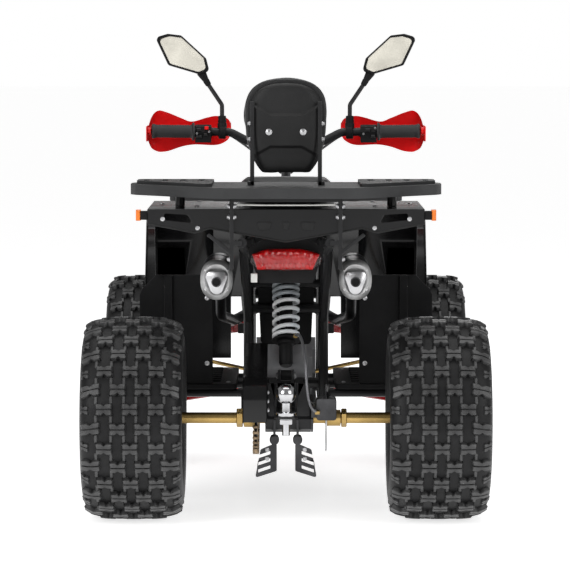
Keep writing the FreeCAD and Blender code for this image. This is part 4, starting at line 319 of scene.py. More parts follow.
def finish(name, colour, rough, metal=0.0, grain=500.0, depth=0.15, patch=9.0, drift=0.16, spread=0.12, dust=0.0, edge=0.0,
           pattern="noise", stretch=(1, 1, 1), coat=0.0, clear=0.0, index=1.5, sheen=0.0, shine=0.5):
    # colour = the given one times 1 -+ drift, under pale edges and dust, the pale edges being wear and on the tyre lugs
    # a painted highlight; roughness = the given one -+ spread; bump = grain * depth
    material = bpy.data.materials.new(name)
    material.use_nodes = True
    tree = material.node_tree
    shader = tree.nodes["Principled BSDF"]

    def add(kind, feeds, values):  # a node with its settings and socket values, fed by other nodes' sockets
        made = tree.nodes.new(kind)
        for key, value in values.items():
            if isinstance(key, str) and hasattr(made, key):
                setattr(made, key, value)
            else:
                made.inputs[key].default_value = value
        for socket, source in feeds.items():
            tree.links.new(source, made.inputs[socket])
        return made

    def blended(share, under, over):  # under where the share is 0, over where it is 1
        return add("ShaderNodeMix", {"Factor": share, "A": under}, {"data_type": "RGBA", "B": over}).outputs["Result"]

    def spots(value, low, high, most, by):  # the value stretched to 0..most, then broken up by a noise
        stretched = add("ShaderNodeMapRange", {"Value": value}, {"From Min": low, "From Max": high, "To Max": most})
        return add("ShaderNodeMath", {0: stretched.outputs["Result"], 1: by}, {"operation": "MULTIPLY"}).outputs[0]

    place = add("ShaderNodeTexCoord", {}, {}).outputs["Object"]
    turned = add("ShaderNodeMapping", {"Vector": place}, {"Scale": stretch}).outputs["Vector"]
    broad = add("ShaderNodeTexNoise", {"Vector": place}, {"Scale": patch, "Detail": 5.0, "Roughness": 0.6}).outputs["Fac"]
    fine = add("ShaderNodeTexNoise", {"Vector": turned}, {"Scale": grain, "Detail": 4.0, "Roughness": 0.55}).outputs["Fac"]
    height = fine
    if pattern == "cells":  # pebbled leather or moulded texture: noise times its share, plus the distance to the nearest cell
        cells = add("ShaderNodeTexVoronoi", {"Vector": turned}, {"Scale": grain * surface["cellScale"]}).outputs["Distance"]
        height = add("ShaderNodeMath", {0: fine, 2: cells}, {"operation": "MULTIPLY_ADD", 1: surface["cellShare"]}).outputs[0]
    ramp = add("ShaderNodeValToRGB", {"Fac": broad}, {})
    low, high = ramp.color_ramp.elements
    low.position, high.position = surface["patchFrom"], surface["patchTo"]
    low.color = (*[c * (1 - drift) for c in colour], 1)
    high.color = (*[min(c * (1 + drift) + drift * 0.01, 1) for c in colour], 1)
    shade = ramp.outputs["Color"]
    if edge or dust:
        form = add("ShaderNodeNewGeometry", {}, {})
    if edge:  # pale edges where the surface turns outward: wear, and on the tyre lugs a painted highlight
        wearAndHighlight = spots(form.outputs["Pointiness"], surface["wearAndHighlightFrom"], surface["wearAndHighlightTo"], edge, fine)
        shade = blended(wearAndHighlight, shade, (*[min(c * 2.2 + 0.12, 1) for c in colour], 1))
    if dust:  # a thin veil that settles on what faces up
        split = add("ShaderNodeSeparateXYZ", {"Vector": form.outputs["Normal"]}, {})
        shade = blended(spots(split.outputs["Z"], surface["dustFrom"], 1.0, dust, broad), shade, surface["dustColour"])
    tree.links.new(shade, shader.inputs["Base Color"])
    gloss = add("ShaderNodeMapRange", {"Value": broad if pattern == "polish" else fine},
                {"From Min": 0.3, "From Max": 0.7, "To Min": max(rough - spread, 0.02), "To Max": min(rough + spread, 1)})
    tree.links.new(gloss.outputs["Result"], shader.inputs["Roughness"])
    bump = add("ShaderNodeBump", {"Height": height}, {"Strength": depth, "Distance": surface["bumpHeight"]})
    tree.links.new(bump.outputs["Normal"], shader.inputs["Normal"])
    plain = {"Metallic": metal, "Coat Weight": coat, "Coat Roughness": surface["coatRough"], "Transmission Weight": clear,
             "IOR": index, "Sheen Weight": sheen, "Specular IOR Level": shine}
    for socket, value in plain.items():
        shader.inputs[socket].default_value = value
    return material


# each finish: the record's slot, the material's name, its colour, its roughness and the rest
finishes = {
    "framePaint": ("frame_paint", "frame_paint", (.008, .008, .0088), .38,
                   dict(grain=350, depth=.12, dust=.03, edge=.1, coat=.05, shine=.28)),
    "plastic": ("black_plastic", "black_plastic", (.0058, .0058, .0062), .52,
                dict(grain=900, depth=.3, pattern="cells", dust=.02, shine=.14)),
    "gloss": ("gloss_black", "gloss_black", (.004, .004, .0044), .18,
              dict(grain=60, depth=.02, spread=.05, coat=.1, dust=.01, pattern="polish", shine=.3)),
    "rackPlastic": ("rack_plastic", "rack_plastic", (.022, .0225, .0235), .6,
                    dict(grain=1100, depth=.5, pattern="cells", dust=.05, edge=.2, shine=.3)),
    "vinyl": ("seat_vinyl", "seat_vinyl", (.009, .009, .0095), .42,
              dict(grain=850, depth=.4, pattern="cells", sheen=.03, shine=.35)),
    "shell": ("black_plastic", "shell_plastic", (.011, .011, .0112), .48,
              dict(grain=1000, depth=.35, pattern="cells", dust=.03, shine=.22)),
    # tyre carcass darker than the lug rubber: painted shade in the gaps between the lugs
    "tyre": ("tyre", "tyre_rubber_shaded", (.0042, .0042, .0046), .5,
             dict(grain=420, depth=.3, drift=.3, dust=.01, sheen=.02, shine=.26)),
    # lug rubber lighter than the carcass, with pale edges (edge=.8): painted highlight on the lugs
    "lug": ("tyre", "lug_rubber_lit", (.0058, .0058, .0062), .4,
            dict(grain=420, depth=.35, drift=.35, dust=.015, edge=.8, sheen=.02, shine=.4)),
    "rubber": ("rubber", "soft_rubber", (.009, .009, .0095), .62, dict(grain=700, depth=.3)),
    "engine": ("engine_metal", "engine_metal", (.3, .3, .31), .48, dict(metal=1, grain=320, depth=.5, dust=.06, edge=.2)),
    "cap": ("silver", "cap_silver", (.42, .42, .42), .46, dict(metal=.85, grain=240, depth=.2, drift=.25)),
    "silver": ("silver", "satin_silver", (.5, .5, .51), .34, dict(metal=1, grain=500, depth=.1, stretch=(1, 6, 1))),
    "darkSteel": ("dark_steel", "dark_steel", (.07, .07, .073), .42, dict(metal=1, grain=450, depth=.25, drift=.3)),
    "chrome": ("chrome", "bright_chrome", (.5, .5, .51), .14,
               dict(metal=1, grain=120, depth=.02, spread=.05, pattern="polish")),
    "gold": ("gold_steel", "gold_steel", (.46, .31, .11), .32, dict(metal=1, grain=420, depth=.12, stretch=(8, 1, 1))),
    "chain": ("chain_steel", "chain_steel", (.27, .2, .13), .42, dict(metal=1, grain=900, depth=.35, drift=.4, patch=60)),
    "redPaint": ("red_paint", "red_paint", (.42, .006, .008), .28, dict(grain=80, depth=.03, coat=.5, spread=.05, dust=.03)),
    "redPlastic": ("red_plastic", "red_plastic", (.68, .002, .003), .36,
                   dict(grain=700, depth=.12, coat=.05, spread=.06, shine=.3)),
    "springPaint": ("spring_paint", "spring_paint", (.88, .95, 1.0), .3, dict(grain=90, depth=.04, coat=.4, spread=.06)),
    "springGrey": ("dark_steel", "spring_grey", (.36, .39, .41), .34, dict(metal=.1, grain=300, depth=.1)),
    "redLens": ("red_lens", "red_lens", (.42, .0015, .002), .16,
                dict(grain=60, depth=.03, clear=.1, coat=.25, spread=.05, shine=.35)),
    "orangeLens": ("orange_lens", "orange_lens", (.85, .2, .01), .2, dict(grain=60, depth=.03, clear=.15, coat=.4, spread=.05)),
    "clearLens": ("clear_lens", "clear_lens", (.86, .89, .91), .12, dict(grain=160, depth=.2, clear=.8, index=1.3, spread=.06)),
    "film": ("clear_lens", "clear_film", (.99, .99, .99), .05,
             dict(grain=70, depth=.5, clear=1.0, index=1.25, spread=.02, drift=.01, shine=.4)),
    # mirror glass: a beige base colour with little metal, a painted reflection in the glass
    "mirror": ("mirror", "mirror_glass", (.76, .73, .64), .06,
               dict(metal=.15, grain=40, depth=.01, spread=.03, pattern="polish")),
    "disc": ("disc_steel", "disc_steel", (.4, .4, .41), .28, dict(metal=1, grain=600, depth=.12, drift=.2)),
    "rim": ("rim_paint", "rim_paint", (.014, .014, .015), .34, dict(grain=260, depth=.1, coat=.3, dust=.05, edge=.15)),
    "connector": ("silver", "pale_plastic", (.5, .5, .48), .45, dict(grain=500, depth=.1)),
    "cable": ("rubber", "cable_sheath", (.012, .012, .013), .45, dict(grain=900, depth=.2)),
    "braid": ("dark_steel", "braided_hose", (.2, .2, .21), .4, dict(metal=.7, grain=1600, depth=.8)),
}
looks = {key: (finish(name, colour, rough, **rest), slot) for key, (slot, name, colour, rough, rest) in finishes.items()}
print("stage: finishes made")


# tyres: a turned carcass, (across, radius) from bead to crown, with rows of lugs laid on its surface
# a row: the pitch it starts at, its share of the reach, width and length in mm, slant, height in mm
tyres = {
    "rear": {
        "centre": (.380, -.55, .254), "pitches": 32, "segments": 96,
        "half": [(.0973, .1268), (.1, .1366), (.1045, .1405), (.106, .146), (.1155, .158), (.1232, .178), (.1255, .196),
                 (.1225, .2125), (.1165, .2235), (.104, .2325), (.084, .2375), (.05, .2402), (.018, .241), (0, .241)],
        "lugs": [(0, .24, 38, 26, 0, 13), (0, .76, 44, 28, .15, 10), (1, 0, 38, 26, 0, 12.5), (1, .50, 38, 26, 0, 13),
                 (1, .89, 24, 20, -.15, 5)],
        "ribs": [.12, .37, .66]},
    "front": {
        "centre": (.415, .55, .2665), "pitches": 30, "segments": 96,
        "half": [(.0684, .1268), (.071, .1366), (.0745, .1405), (.0765, .147), (.082, .164), (.087, .19), (.0882, .21),
                 (.086, .2265), (.081, .2385), (.071, .2475), (.055, .252), (.032, .254), (.012, .2545), (0, .2545)],
        "lugs": [(0, .30, 32, 26, 0, 12), (0, .84, 28, 28, .15, 6), (1, 0, 30, 26, 0, 12), (1, .62, 32, 26, .1, 12)],
        "ribs": [.16, .46]},
}
lugForm = {"notch": .34, "notchWidth": .35, "waist": .12, "corner": .86, "flare": 1.16, "sipe": .003, "sipeAt": .07,
           "dome": .0016, "sunk": -.003, "rib": (8, 20, 0, 4)}


def lugGrid(width, length, slant, height, plain):
    # across = i * half width, narrowed at the waist; ahead = j * half length, notched at the middle;
    # the rim drops and flares to the base
    cols = np.array([-1, -1, -.9, -lugForm["notchWidth"], 0, lugForm["notchWidth"], .9, 1, 1.0])
    rows = np.array([-1, -1, -.9, -.14, -lugForm["sipeAt"], lugForm["sipeAt"], .14, .9, 1, 1.0])
    if plain:
        cols, rows = np.array([-1, -1, -.6, .6, 1, 1.0]), np.array([-1, -1, -.8, .8, 1, 1.0])
    i, j = np.meshgrid(cols, rows)
    colEdge, rowEdge = np.abs(i) == 1, np.abs(j) == 1
    base = np.ones_like(i, bool)
    base[1:-1, 1:-1] = False
    notch = 0 if plain else lugForm["notch"]
    across = i * (1 - lugForm["waist"] * (1 - np.abs(j)))
    ahead = j * (1 - notch * np.maximum(0, 1 - np.abs(i) / lugForm["notchWidth"]))
    shrink = np.where(colEdge & rowEdge, lugForm["corner"], 1) * np.where(base, lugForm["flare"], 1)
    across, ahead = across * shrink * width / 2, ahead * shrink * length / 2
    rise = height - lugForm["dome"] * (colEdge | rowEdge) - (0 if plain else lugForm["sipe"]) * (np.abs(j) == lugForm["sipeAt"])
    rise[base] = lugForm["sunk"]
    return across, ahead + slant * across, rise


def treadShells(spec):
    # a lug's point lies at the carcass place of its own arc length across, raised along the normal,
    # and turned by ahead / radius
    half = smoothLine(spec["half"], 8)[::-1]
    line = np.concatenate([half[:0:-1] * [-1, 1], half])
    run = np.concatenate([[0], np.cumsum(np.linalg.norm(np.diff(line, axis=0), axis=1))])
    run -= run[len(run) // 2]
    way = unit(np.gradient(line, axis=0))
    normal = np.stack([-way[:, 1], way[:, 0]], 1)
    middle, widest = len(line) // 2, int(line[:, 0].argmax()) + 1
    reach, crown = max(p[0] for p in spec["half"]), line[:, 1].max()
    rows = [(*row, 2) for row in spec["lugs"]] + [(.5, share, *lugForm["rib"], 1) for share in spec["ribs"]]
    lugs = []
    for start, share, width, length, slant, height, step in rows:
        across, ahead, rise = lugGrid(width / 1000, length / 1000, slant, height / 1000, step == 1)
        s = np.interp(share * reach, line[middle:widest, 0], run[middle:widest]) + across
        x, r = (np.interp(s, run, line[:, i]) + rise * np.interp(s, run, normal[:, i]) for i in (0, 1))
        turns = (start + np.arange(0, spec["pitches"], step)) * 2 * math.pi / spec["pitches"]
        angle = turns[:, None, None] + (ahead / crown)[None]
        for hand in (1, -1) if share else (1,):
            points = np.stack([np.broadcast_to(x * hand, angle.shape), r * np.cos(angle), r * np.sin(angle)], -1)
            lugs += [gridShell(grid + spec["centre"], closeCols=False) for grid in points]
    bead = half[-1] - [0, .0005]  # the carcass is closed across the beads
    ring = np.concatenate([line, [bead, bead * [-1, 1]]])
    return lugs, lathe(ring, spec["centre"], xAxis, spec["segments"], closed=True)


lugs, carcass = treadShells(tyres["rear"])
addPiece("rearTyres", "rear_tyres", "tyre", bothSides(carcass), ("rear_tyres",), 50)
addPiece("rearTyreLugs", "rear_tyres", "lug", bothSides(*lugs), angle=32)
lugs, carcass = treadShells(tyres["front"])
for side in sides:
    node = "front_tyre_" + side
    addPiece("frontTyre_" + side, node, "tyre", sided([carcass], side), (node,), 50)
    addPiece("frontTyreLugs_" + side, node, "lug", sided(lugs, side), angle=32)
print("stage: tyres")


# rims: a turned barrel and a dished face with pressed windows; lip: (out from the bead, radius)
rims = {"rear": {"bead": .0973, "disc": -.0417, "deep": .0861}, "front": {"bead": .0684, "disc": -.020, "deep": .0548}}
rimForm = {"lip": [(.005, .1175), (.006, .128), (.0045, .1355), (.0015, .136), (.0003, .134), (-.002, .1268), (-.014, .1265),
                   (-.022, .121)],
           "inner": (-.012, .1168), "hub": .058, "edge": .118, "windows": 8, "dent": .011, "span": .34, "steep": 1.6, "wide": .3,
           "wall": .008, "thin": .002, "nutCircle": .043,
           "nut": [(0, 0), (0, .011), (.003, .0115), (.005, .0095), (.016, .0088), (.019, .006), (.019, 0)],
           "cap": [(0, 0), (0, .032), (.010, .031), (.022, .027), (.027, .02), (.028, 0)],
           "valve": [(-.014, 0, .104), (.006, 0, .1), (.014, 0, .097)],
           "hubTube": [(-.068, .03), (-.066, .042), (-.03, .042), (-.024, .05), (-.022, .056), (-.018, .056), (-.018, 0)],
           "hubCap": [(-.02, 0), (-.02, .028), (.036, .0205), (.043, .0185), (.0455, .012), (.0455, 0)]}


def rimShells(spec, centre):
    # the dish: depth along the axle follows a cosine from hub to rim, and each window is a rounded dent in it
    c, hub, edge = np.array(centre), rimForm["hub"], rimForm["edge"]
    bead = np.array([spec["bead"], 0])
    lip, inner = np.array(rimForm["lip"]) + bead, np.array([rimForm["inner"]]) + bead
    barrel = np.concatenate([lip * [-1, 1], lip[::-1], inner, inner * [-1, 1]])
    radius = np.concatenate([[0.0], np.linspace(.02, hub, 4), np.linspace(hub + .004, edge, 18)])
    r, t = np.meshgrid(radius, rounds(128), indexing="ij")
    share = np.clip((r - hub) / (edge - hub), 0, 1)
    depth = spec["disc"] + spec["deep"] * (1 - np.cos(share * math.pi)) / 2
    ring = np.clip(1 - np.abs(share - .5) / rimForm["span"], 0, 1)
    window = ring * np.clip(np.cos(t * rimForm["windows"]) * rimForm["steep"] + rimForm["wide"], 0, 1)
    window = window * window * (3 - 2 * window)
    front = np.stack([depth + c[0] - window * rimForm["dent"], c[1] + r * np.cos(t), c[2] + r * np.sin(t)], -1)
    backFace = front - [rimForm["wall"], 0, 0] - np.stack([window * rimForm["thin"], 0 * r, 0 * r], -1)
    dish = gridShell(np.concatenate([front, backFace[::-1]]), closeRows=True)
    spots, circle = rounds(4, math.pi / 4), rimForm["nutCircle"]
    places = c + np.stack([np.full(4, spec["disc"]), circle * np.cos(spots), circle * np.sin(spots)], 1)
    nuts = placed(lathe(rimForm["nut"], (0, 0, 0), xAxis, 6), places)
    cap = lathe(rimForm["cap"], c + [spec["disc"], 0, 0], xAxis, 32)
    valve = tubeShell(c + np.array(rimForm["valve"]) + [spec["disc"] + spec["deep"], 0, 0], .004, 8)
    return [lathe(barrel, c, xAxis, 64, closed=True), dish], nuts, cap, valve


body, nuts, cap, valve = rimShells(rims["rear"], tyres["rear"]["centre"])
addPiece("rearRims", "rear_rims", "rim", bothSides(*body), ("rear_rims",), 45)
addPiece("rearWheelNuts", "rear_rims", "chrome", bothSides(nuts), angle=30)
addPiece("rearHubCaps", "rear_rims", "plastic", bothSides(cap, valve))
hub = tyres["front"]["centre"]
body, nuts, cap, valve = rimShells(rims["front"], hub)
body.append(lathe(rimForm["hubTube"], hub, xAxis, 40))
cap = lathe(rimForm["hubCap"], hub, xAxis, 32)
for side in sides:
    node = "front_rim_" + side
    addPiece("frontRim" + side.title(), node, "rim", sided(body, side), (node,), 45)
    addPiece("frontWheelNuts_" + side, node, "chrome", sided([nuts], side), angle=30)
    addPiece("frontHubCap_" + side, node, "plastic", sided([cap, valve], side))
print("stage: rims")


# coil springs: a wire carried round a helix whose pitch changes along it, over a damper
rearShock = {"low": (0, -.400, .345), "top": (0, -.268, .622), "spring": (.0983, .2778), "radius": .031, "wire": .0053,
             "open": [.09, .22, .35, .48], "middle": .61, "closed": [.70, .785, .87],
             "gaiter": [(.085 + .004 * i, .021 + .003 * (i % 2)) for i in range(12)],
             "rod": [(.14, .017), (.20, .017), (.205, .012), (.29, .0085), (.29, 0)],
             "body": [(.026, 0), (.026, .014), (.034, .0175), (.080, .0175), (.083, .021)],
             "eye": [(-.014, 0), (-.014, .008), (-.0135, .0138), (.0135, .0138), (.014, .008), (.014, 0)],
             "head": [(.270, 0), (.270, .013), (.29, .013), (.296, .009), (.296, 0)]}
frontShock = {"low": (.250, .55, .22708), "top": (.150, .55, .590), "room": .0343, "radius": .0235, "wire": .0038, "turns": 13,
              "body": [(.012, 0), (.012, .010), (.030, .0155)], "foot": ((.250, .55, .2145), (.013, .0138, .0135))}


def helixPath(low, top, radius, shares, flats=14):
    # point = low + axis * along + radius * (u cos t + v sin t); along passes through the given share at each whole turn
    axis = unit(top - low)
    u, v = square(axis)
    turns = np.linspace(0, len(shares) - 1, (len(shares) - 1) * flats + 1)
    along = np.interp(turns, np.arange(len(shares)), shares) * np.linalg.norm(top - low)
    t = turns * 2 * math.pi
    return low + along[:, None] * axis + radius * (np.cos(t)[:, None] * u + np.sin(t)[:, None] * v)


def springSeat(at, inner, outer, slope, low, axis, segments):  # a turned collar, sloped up to its outer edge
    line = [(0, 0), (0, inner), (slope, outer), (.005, outer), (.006, inner), (.006, 0)]
    return lathe(np.add(line, (at, 0)), low, axis, segments)


low, top = np.array(rearShock["low"]), np.array(rearShock["top"])
axis = unit(top - low)
foot, head = (low + axis * at for at in rearShock["spring"])
wire = rearShock["wire"]
end = wire / np.linalg.norm(head - foot)
coils = {"Open": ("springPaint", [end, *rearShock["open"], rearShock["middle"]], ("rear_spring",)),
         "Close": ("springGrey", [rearShock["middle"], *rearShock["closed"], 1 - end], ())}
for name, (look, shares, stands) in coils.items():
    coil = tubeShell(helixPath(foot, head, rearShock["radius"], shares), wire, 12)
    addPiece("rearSpring" + name, "rear_spring", look, [coil], stands)
damper = [lathe(rearShock["body"] + rearShock["gaiter"] + rearShock["rod"], low, axis, 36)]
damper += [springSeat(at, .030, .0362, .0012, low, axis, 40) for at in (.0921, .2783)]
damper += [lathe(rearShock["eye"], end, xAxis, 28) for end in (low, top)]
addPiece("rearDamper", "rear_shock", "plastic", damper + [lathe(rearShock["head"], low, axis, 24)], ("rear_shock",))
pins = [s for end in (low, top) for way in (1, -1) for s in boltShells([end + [.0205 * way, 0, 0]], (way, 0, 0), .007, .005)]
addPiece("rearDamperBolts", "rear_shock", "silver", pins, angle=30)

low, top = np.array(frontShock["low"]), np.array(frontShock["top"])
axis, length = unit(top - low), np.linalg.norm(top - low)
foot, head = low + axis * frontShock["room"], top - axis * frontShock["room"]
shares = [.014, *np.linspace(.035, .965, frontShock["turns"]), .986]
coil = tubeShell(helixPath(foot, head, frontShock["radius"], shares, 12), frontShock["wire"], 10)
addPiece("frontSprings", "front_springs", "springPaint", bothSides(coil), ("front_springs",))
rod = [(length / 2, .0155), (length / 2 + .003, .0085), (length - .012, .0085), (length - .012, 0)]
damper = [lathe(frontShock["body"] + rod, low, axis, 28)]
damper += [springSeat(at, .024, .0268, .001, low, axis, 36) for at in (.028, length - .034)]
damper += [drum(-.0135, .0135, .0135, end, yAxis) for end in (low, top)]
damper.append(blockShell(*frontShock["foot"], .001, "y"))
addPiece("frontDampers", "front_shocks", "plastic", bothSides(*damper), ("front_shocks",))
print("stage: springs and dampers")


# exhausts: oval cans with a stepped cap, a boss, an outlet with a black plug inside it as painted shade, and a bent
# header
# a ring: how far ahead of the rear face, added width, share of the width, share of the height, power
exhaust = {
    "x": .172, "z": .605, "rear": -.620, "width": .078, "height": .097, "pipe": .014,
    "can": [(.026, -.002), (.028,), (.3,), (.312, 0, .93), (.345, 0, .62, .58, 2.1), (.378, .031, 0, 0, 2)],
    "band": [(.2, .001), (.201, .0035), (.216, .0035), (.217, .001)],
    "cap": [(.03, .001), (.029, .003), (.014, .003), (.009, .001), (.004, 0, .9), (.001, 0, .8), (.002, 0, .72), (.006, 0, .6),
            (.007, 0, .4)],
    "header": [(.021, .17922, .51231), (.021, .23762, .4999), (.1385, .135, .4399), (.172, -.060, .4699), (.172, -.182, .605),
               (.172, -.281, .605)],
    "boss": [(-.034, .024), (-.013, -.036), (.013, -.036), (.034, .024)], "mouth": -.004,
    "outlet": [(-.014, .0105), (-.0142, .0125), (.01, .0125), (.01, .0095), (-.0138, .0098)],
    "rivet": [(0, 0), (0, .003), (.0015, .0026), (.0022, .001), (.0022, 0)], "rivets": [35, 145, 215, 325],
    "rivetAt": (.033, .0035, .0415),
}
x0, y0, z0 = exhaust["x"], exhaust["rear"], exhaust["z"]


def ovalShell(rings, lids=True, count=56):
    # superellipse: x and z are the signed powers 2/p of the cosine and sine
    def ring(ahead, grow=0, wide=1, tall=None, power=2.3):
        x, z = (np.sign(f) * np.abs(f) ** (2 / power) for f in (np.cos(rounds(count)), np.sin(rounds(count))))
        width, height = exhaust["width"] * wide + grow, exhaust["height"] * (wide if tall is None else tall) + grow
        return np.stack([x0 + x * width / 2, np.full(count, y0 + ahead), z0 + z * height / 2], 1)

    return gridShell(np.array([ring(*r) for r in rings]), lids=lids)


header = tubeShell(roundCorners(exhaust["header"], .06, 8, closed=False), exhaust["pipe"], 20)
boss = roundCorners(np.array(exhaust["boss"]) + [x0, z0], .015, 7)
mouth = (x0, y0, z0 + exhaust["mouth"])
spots = np.radians(exhaust["rivets"])
rivets = np.stack([np.cos(spots), np.ones(4), np.sin(spots)], 1) * exhaust["rivetAt"] + [x0, y0, z0]
mufflers = {
    "mufflers": ("darkSteel", 40, [ovalShell(exhaust["can"]), ovalShell(exhaust["band"], False), header]),
    "mufflerCaps": ("cap", 40, [ovalShell(exhaust["cap"])]),
    "mufflerBosses": ("silver", 50, [plateShell(boss, "y", y0 - .004, y0 + .006, .0025)]),
    "mufflerOutlets": ("darkSteel", 40, [lathe(exhaust["outlet"], mouth, yAxis, 32, closed=True)]),
    # a black plug inside the outlet: painted shade in the pipe's bore
    "mufflerBoreShade": ("plastic", 40, [drum(-.0125, .006, .0099, mouth, yAxis)]),
    "mufflerRivets": ("chrome", 40, [placed(lathe(exhaust["rivet"], (0, 0, 0), (0, -1, 0), 12), rivets)]),
}
for name, (look, angle, shells) in mufflers.items():
    addPiece(name, "exhausts", look, bothSides(*shells), ("exhausts",) if name == "mufflers" else (), angle)
print("stage: exhausts")


# drive chain: side plates and rollers laid along the loop round both wheels, each (y, z, radius)
drive = {"x": -.075, "rear": (-.55, .254, .087), "front": (-.092, .300, .034), "pitch": .0152, "plate": .0056, "waist": .28,
         "pin": (.0082, .0024), "roller": (.0034, .0042), "plates": {0: .0066, 1: .0045}}


def chainLoop():
    # two arcs joined by the outer tangents, resampled to whole links of equal length
    rear, front = drive["rear"], drive["front"]
    run = np.subtract(front[:2], rear[:2])
    base, half = math.atan2(run[1], run[0]), math.pi / 2 - math.asin((rear[2] - front[2]) / np.hypot(*run))
    parts = []
    for (y, z, radius), first, sweep in ((front, base + half, half * 2), (rear, base - half, (math.pi - half) * 2)):
        angle = first - sweep * np.linspace(0, 1, 90)
        parts.append(np.stack([y + radius * np.cos(angle), z + radius * np.sin(angle)], 1))
    line = np.concatenate(parts + [parts[0][:1]])
    run = np.concatenate([[0], np.cumsum(np.linalg.norm(np.diff(line, axis=0), axis=1))])
    links = int(round(run[-1] / drive["pitch"] / 2)) * 2
    at = np.linspace(0, run[-1], links, endpoint=False)
    return np.stack([np.full(links, drive["x"]), np.interp(at, run, line[:, 0]), np.interp(at, run, line[:, 1])], 1)


pins = chainLoop()
ahead = np.roll(pins, -1, 0) - pins
pitch = np.linalg.norm(ahead, axis=1).mean()
t = rounds(20, .01)
across = np.cos(t)
figure = np.stack([across * pitch / 2 + np.sign(across) * np.abs(across) * drive["plate"],
                   np.sin(t) * drive["plate"] * (1 - drive["waist"] * np.exp(-(across / .35) ** 2))], 1)
cosine, sine = unit(ahead)[:, 1:].T
turns = np.zeros((len(pins), 3, 3))
turns[:, 0, 0], turns[:, 1, 1], turns[:, 1, 2], turns[:, 2, 1], turns[:, 2, 2] = 1, cosine, -sine, sine, cosine
middles = pins + ahead / 2
links = []
for first, x in drive["plates"].items():  # outer plates on the even links, inner ones on the odd
    for side in (-1, 1):
        plate = plateShell(figure, "x", side * x - .0008, side * x + .0008, .0003)
        links.append(repeated(plate, turns[first::2], middles[first::2]))
links += [placed(drum(-half, half, radius, (0, 0, 0), xAxis, flats), pins)
          for (half, radius), flats in ((drive["pin"], 8), (drive["roller"], 10))]
addPiece("driveChain", "chain", "chain", links, ("chain",), 30)
print("stage: chain,", len(pins), "links")


# axle and hitch
axleForm = {
    "centre": (0, -.55, .254), "nuts": ((.138, .152), (-.124, -.108)),
    "middle": [(-.107, .0139), (-.105, .0235), (-.0785, .0235), (-.078, .0139), (-.054, .0139), (.064, .0139), (.1025, .0139),
               (.1025, .0205), (.136, .0205), (.137, .0139)],
    "flange": [(.287, .0139), (.290, .0245), (.314, .026), (.316, .052), (.317, .058), (.325, .058), (.326, .050), (.326, 0)],
}
flange = np.array(axleForm["flange"])
steps = np.concatenate([flange[::-1] * [-1, 1], axleForm["middle"], flange])
addPiece("rearAxleShaft", "rear_axle", "gold", [lathe(steps, axleForm["centre"], xAxis, 48)], ("rear_axle",), 35)
hexes = [lathe([(a, 0), (a, .0215), (a + .0015, .0235), (b - .0015, .0235), (b, .0215), (b, 0)], axleForm["centre"], xAxis, 6)
         for a, b in axleForm["nuts"]]
addPiece("axleNuts", "rear_axle", "gold", hexes, angle=25)

ball = {"foot": (0, -.775, 0), "centre": .338, "radius": .025, "neck": .013,
        "shank": [(.236, 0), (.236, .0075), (.2375, .0095), (.262, .0095), (.285, .0095), (.285, .0255), (.286, .026),
                  (.2925, .026), (.294, .0245), (.2955, .0135), (.304, .013)],
        "nut": [(.2642, 0), (.2642, .0155), (.2655, .017), (.2755, .017), (.2765, .0155), (.2765, .0165),
                (.279, .0165), (.279, 0)],
        "thread": [(.2385 + i * .0011, .0088 + .0007 * (i % 2)) for i in range(22)]}
sweep = np.linspace(-math.acos(ball["neck"] / ball["radius"]), math.pi / 2, 18)
sphere = [(ball["centre"] + ball["radius"] * math.sin(a), max(ball["radius"] * math.cos(a), 0)) for a in sweep]
profiles = ((ball["shank"] + sphere, 48), (ball["nut"], 6), (ball["thread"], 24))
turned = [lathe(line, ball["foot"], zAxis, flats) for line, flats in profiles]
addPiece("towBall", "hitch_ball", "chrome", turned, ("hitch_ball",), 32)
print("stage: axle and hitch")


# cushions: the node's form, remeshed, blown up as cloth, and held where it rests
swelling = {"fill": .8, "cap": .007, "shrink": .55, "eased": 6, "quality": 4, "mass": .3, "pressure": 4, "frames": 20}


def evaluated(piece):  # the piece's mesh as its modifiers leave it
    return bpy.data.meshes.new_from_object(piece.evaluated_get(bpy.context.evaluated_depsgraph_get()))


def cushion(name, node, axis, rest, over, voxel, shells=None):
    # moved point = start + capped swell * share, with the share rising from 0 at what it rests on to 1 beyond it
    mesh = meshFrom(name, shells) if shells else mergedMesh(node, name)
    piece = newObject(name, mesh)
    co = pointsOf(mesh)
    middle, half = (co.max(0) + co.min(0)) / 2, (co.max(0) - co.min(0)) / 2
    movePoints(mesh, middle + (co - middle) * (1 - np.minimum(swelling["cap"] * swelling["shrink"] / half, .1)))
    remesh = piece.modifiers.new("voxels", "REMESH")
    remesh.mode, remesh.voxel_size = "VOXEL", voxel
    piece.modifiers.new("eased", "SMOOTH").iterations = swelling["eased"]
    scene.frame_set(1)
    shaped = evaluated(piece)
    piece.modifiers.clear()
    piece.data = shaped
    start = moved = pointsOf(shaped)
    cloth = piece.modifiers.new("swell", "CLOTH")
    cloth.settings.quality, cloth.settings.mass = swelling["quality"], swelling["mass"]
    cloth.settings.use_pressure, cloth.settings.uniform_pressure_force = True, swelling["pressure"]
    cloth.settings.effector_weights.gravity = 0
    cloth.point_cache.frame_start, cloth.point_cache.frame_end = 1, swelling["frames"]
    for step in range(swelling["frames"]):
        scene.frame_set(step + 1)
    moved = pointsOf(evaluated(piece))
    piece.modifiers.clear()
    scene.frame_set(1)
    swell = moved - start
    reach = np.linalg.norm(swell, axis=1, keepdims=True)
    share = np.clip((start[:, axis] - rest) / over, 0, 1)[:, None]
    movePoints(shaped, start + swell * np.minimum(1, swelling["cap"] / np.maximum(reach, 1e-9)) * share)
    shaped.update()
    settle(piece, node, "vinyl", (node,), 180)
    finer = piece.modifiers.new("finer", "SUBSURF")
    finer.levels = finer.render_levels = 1


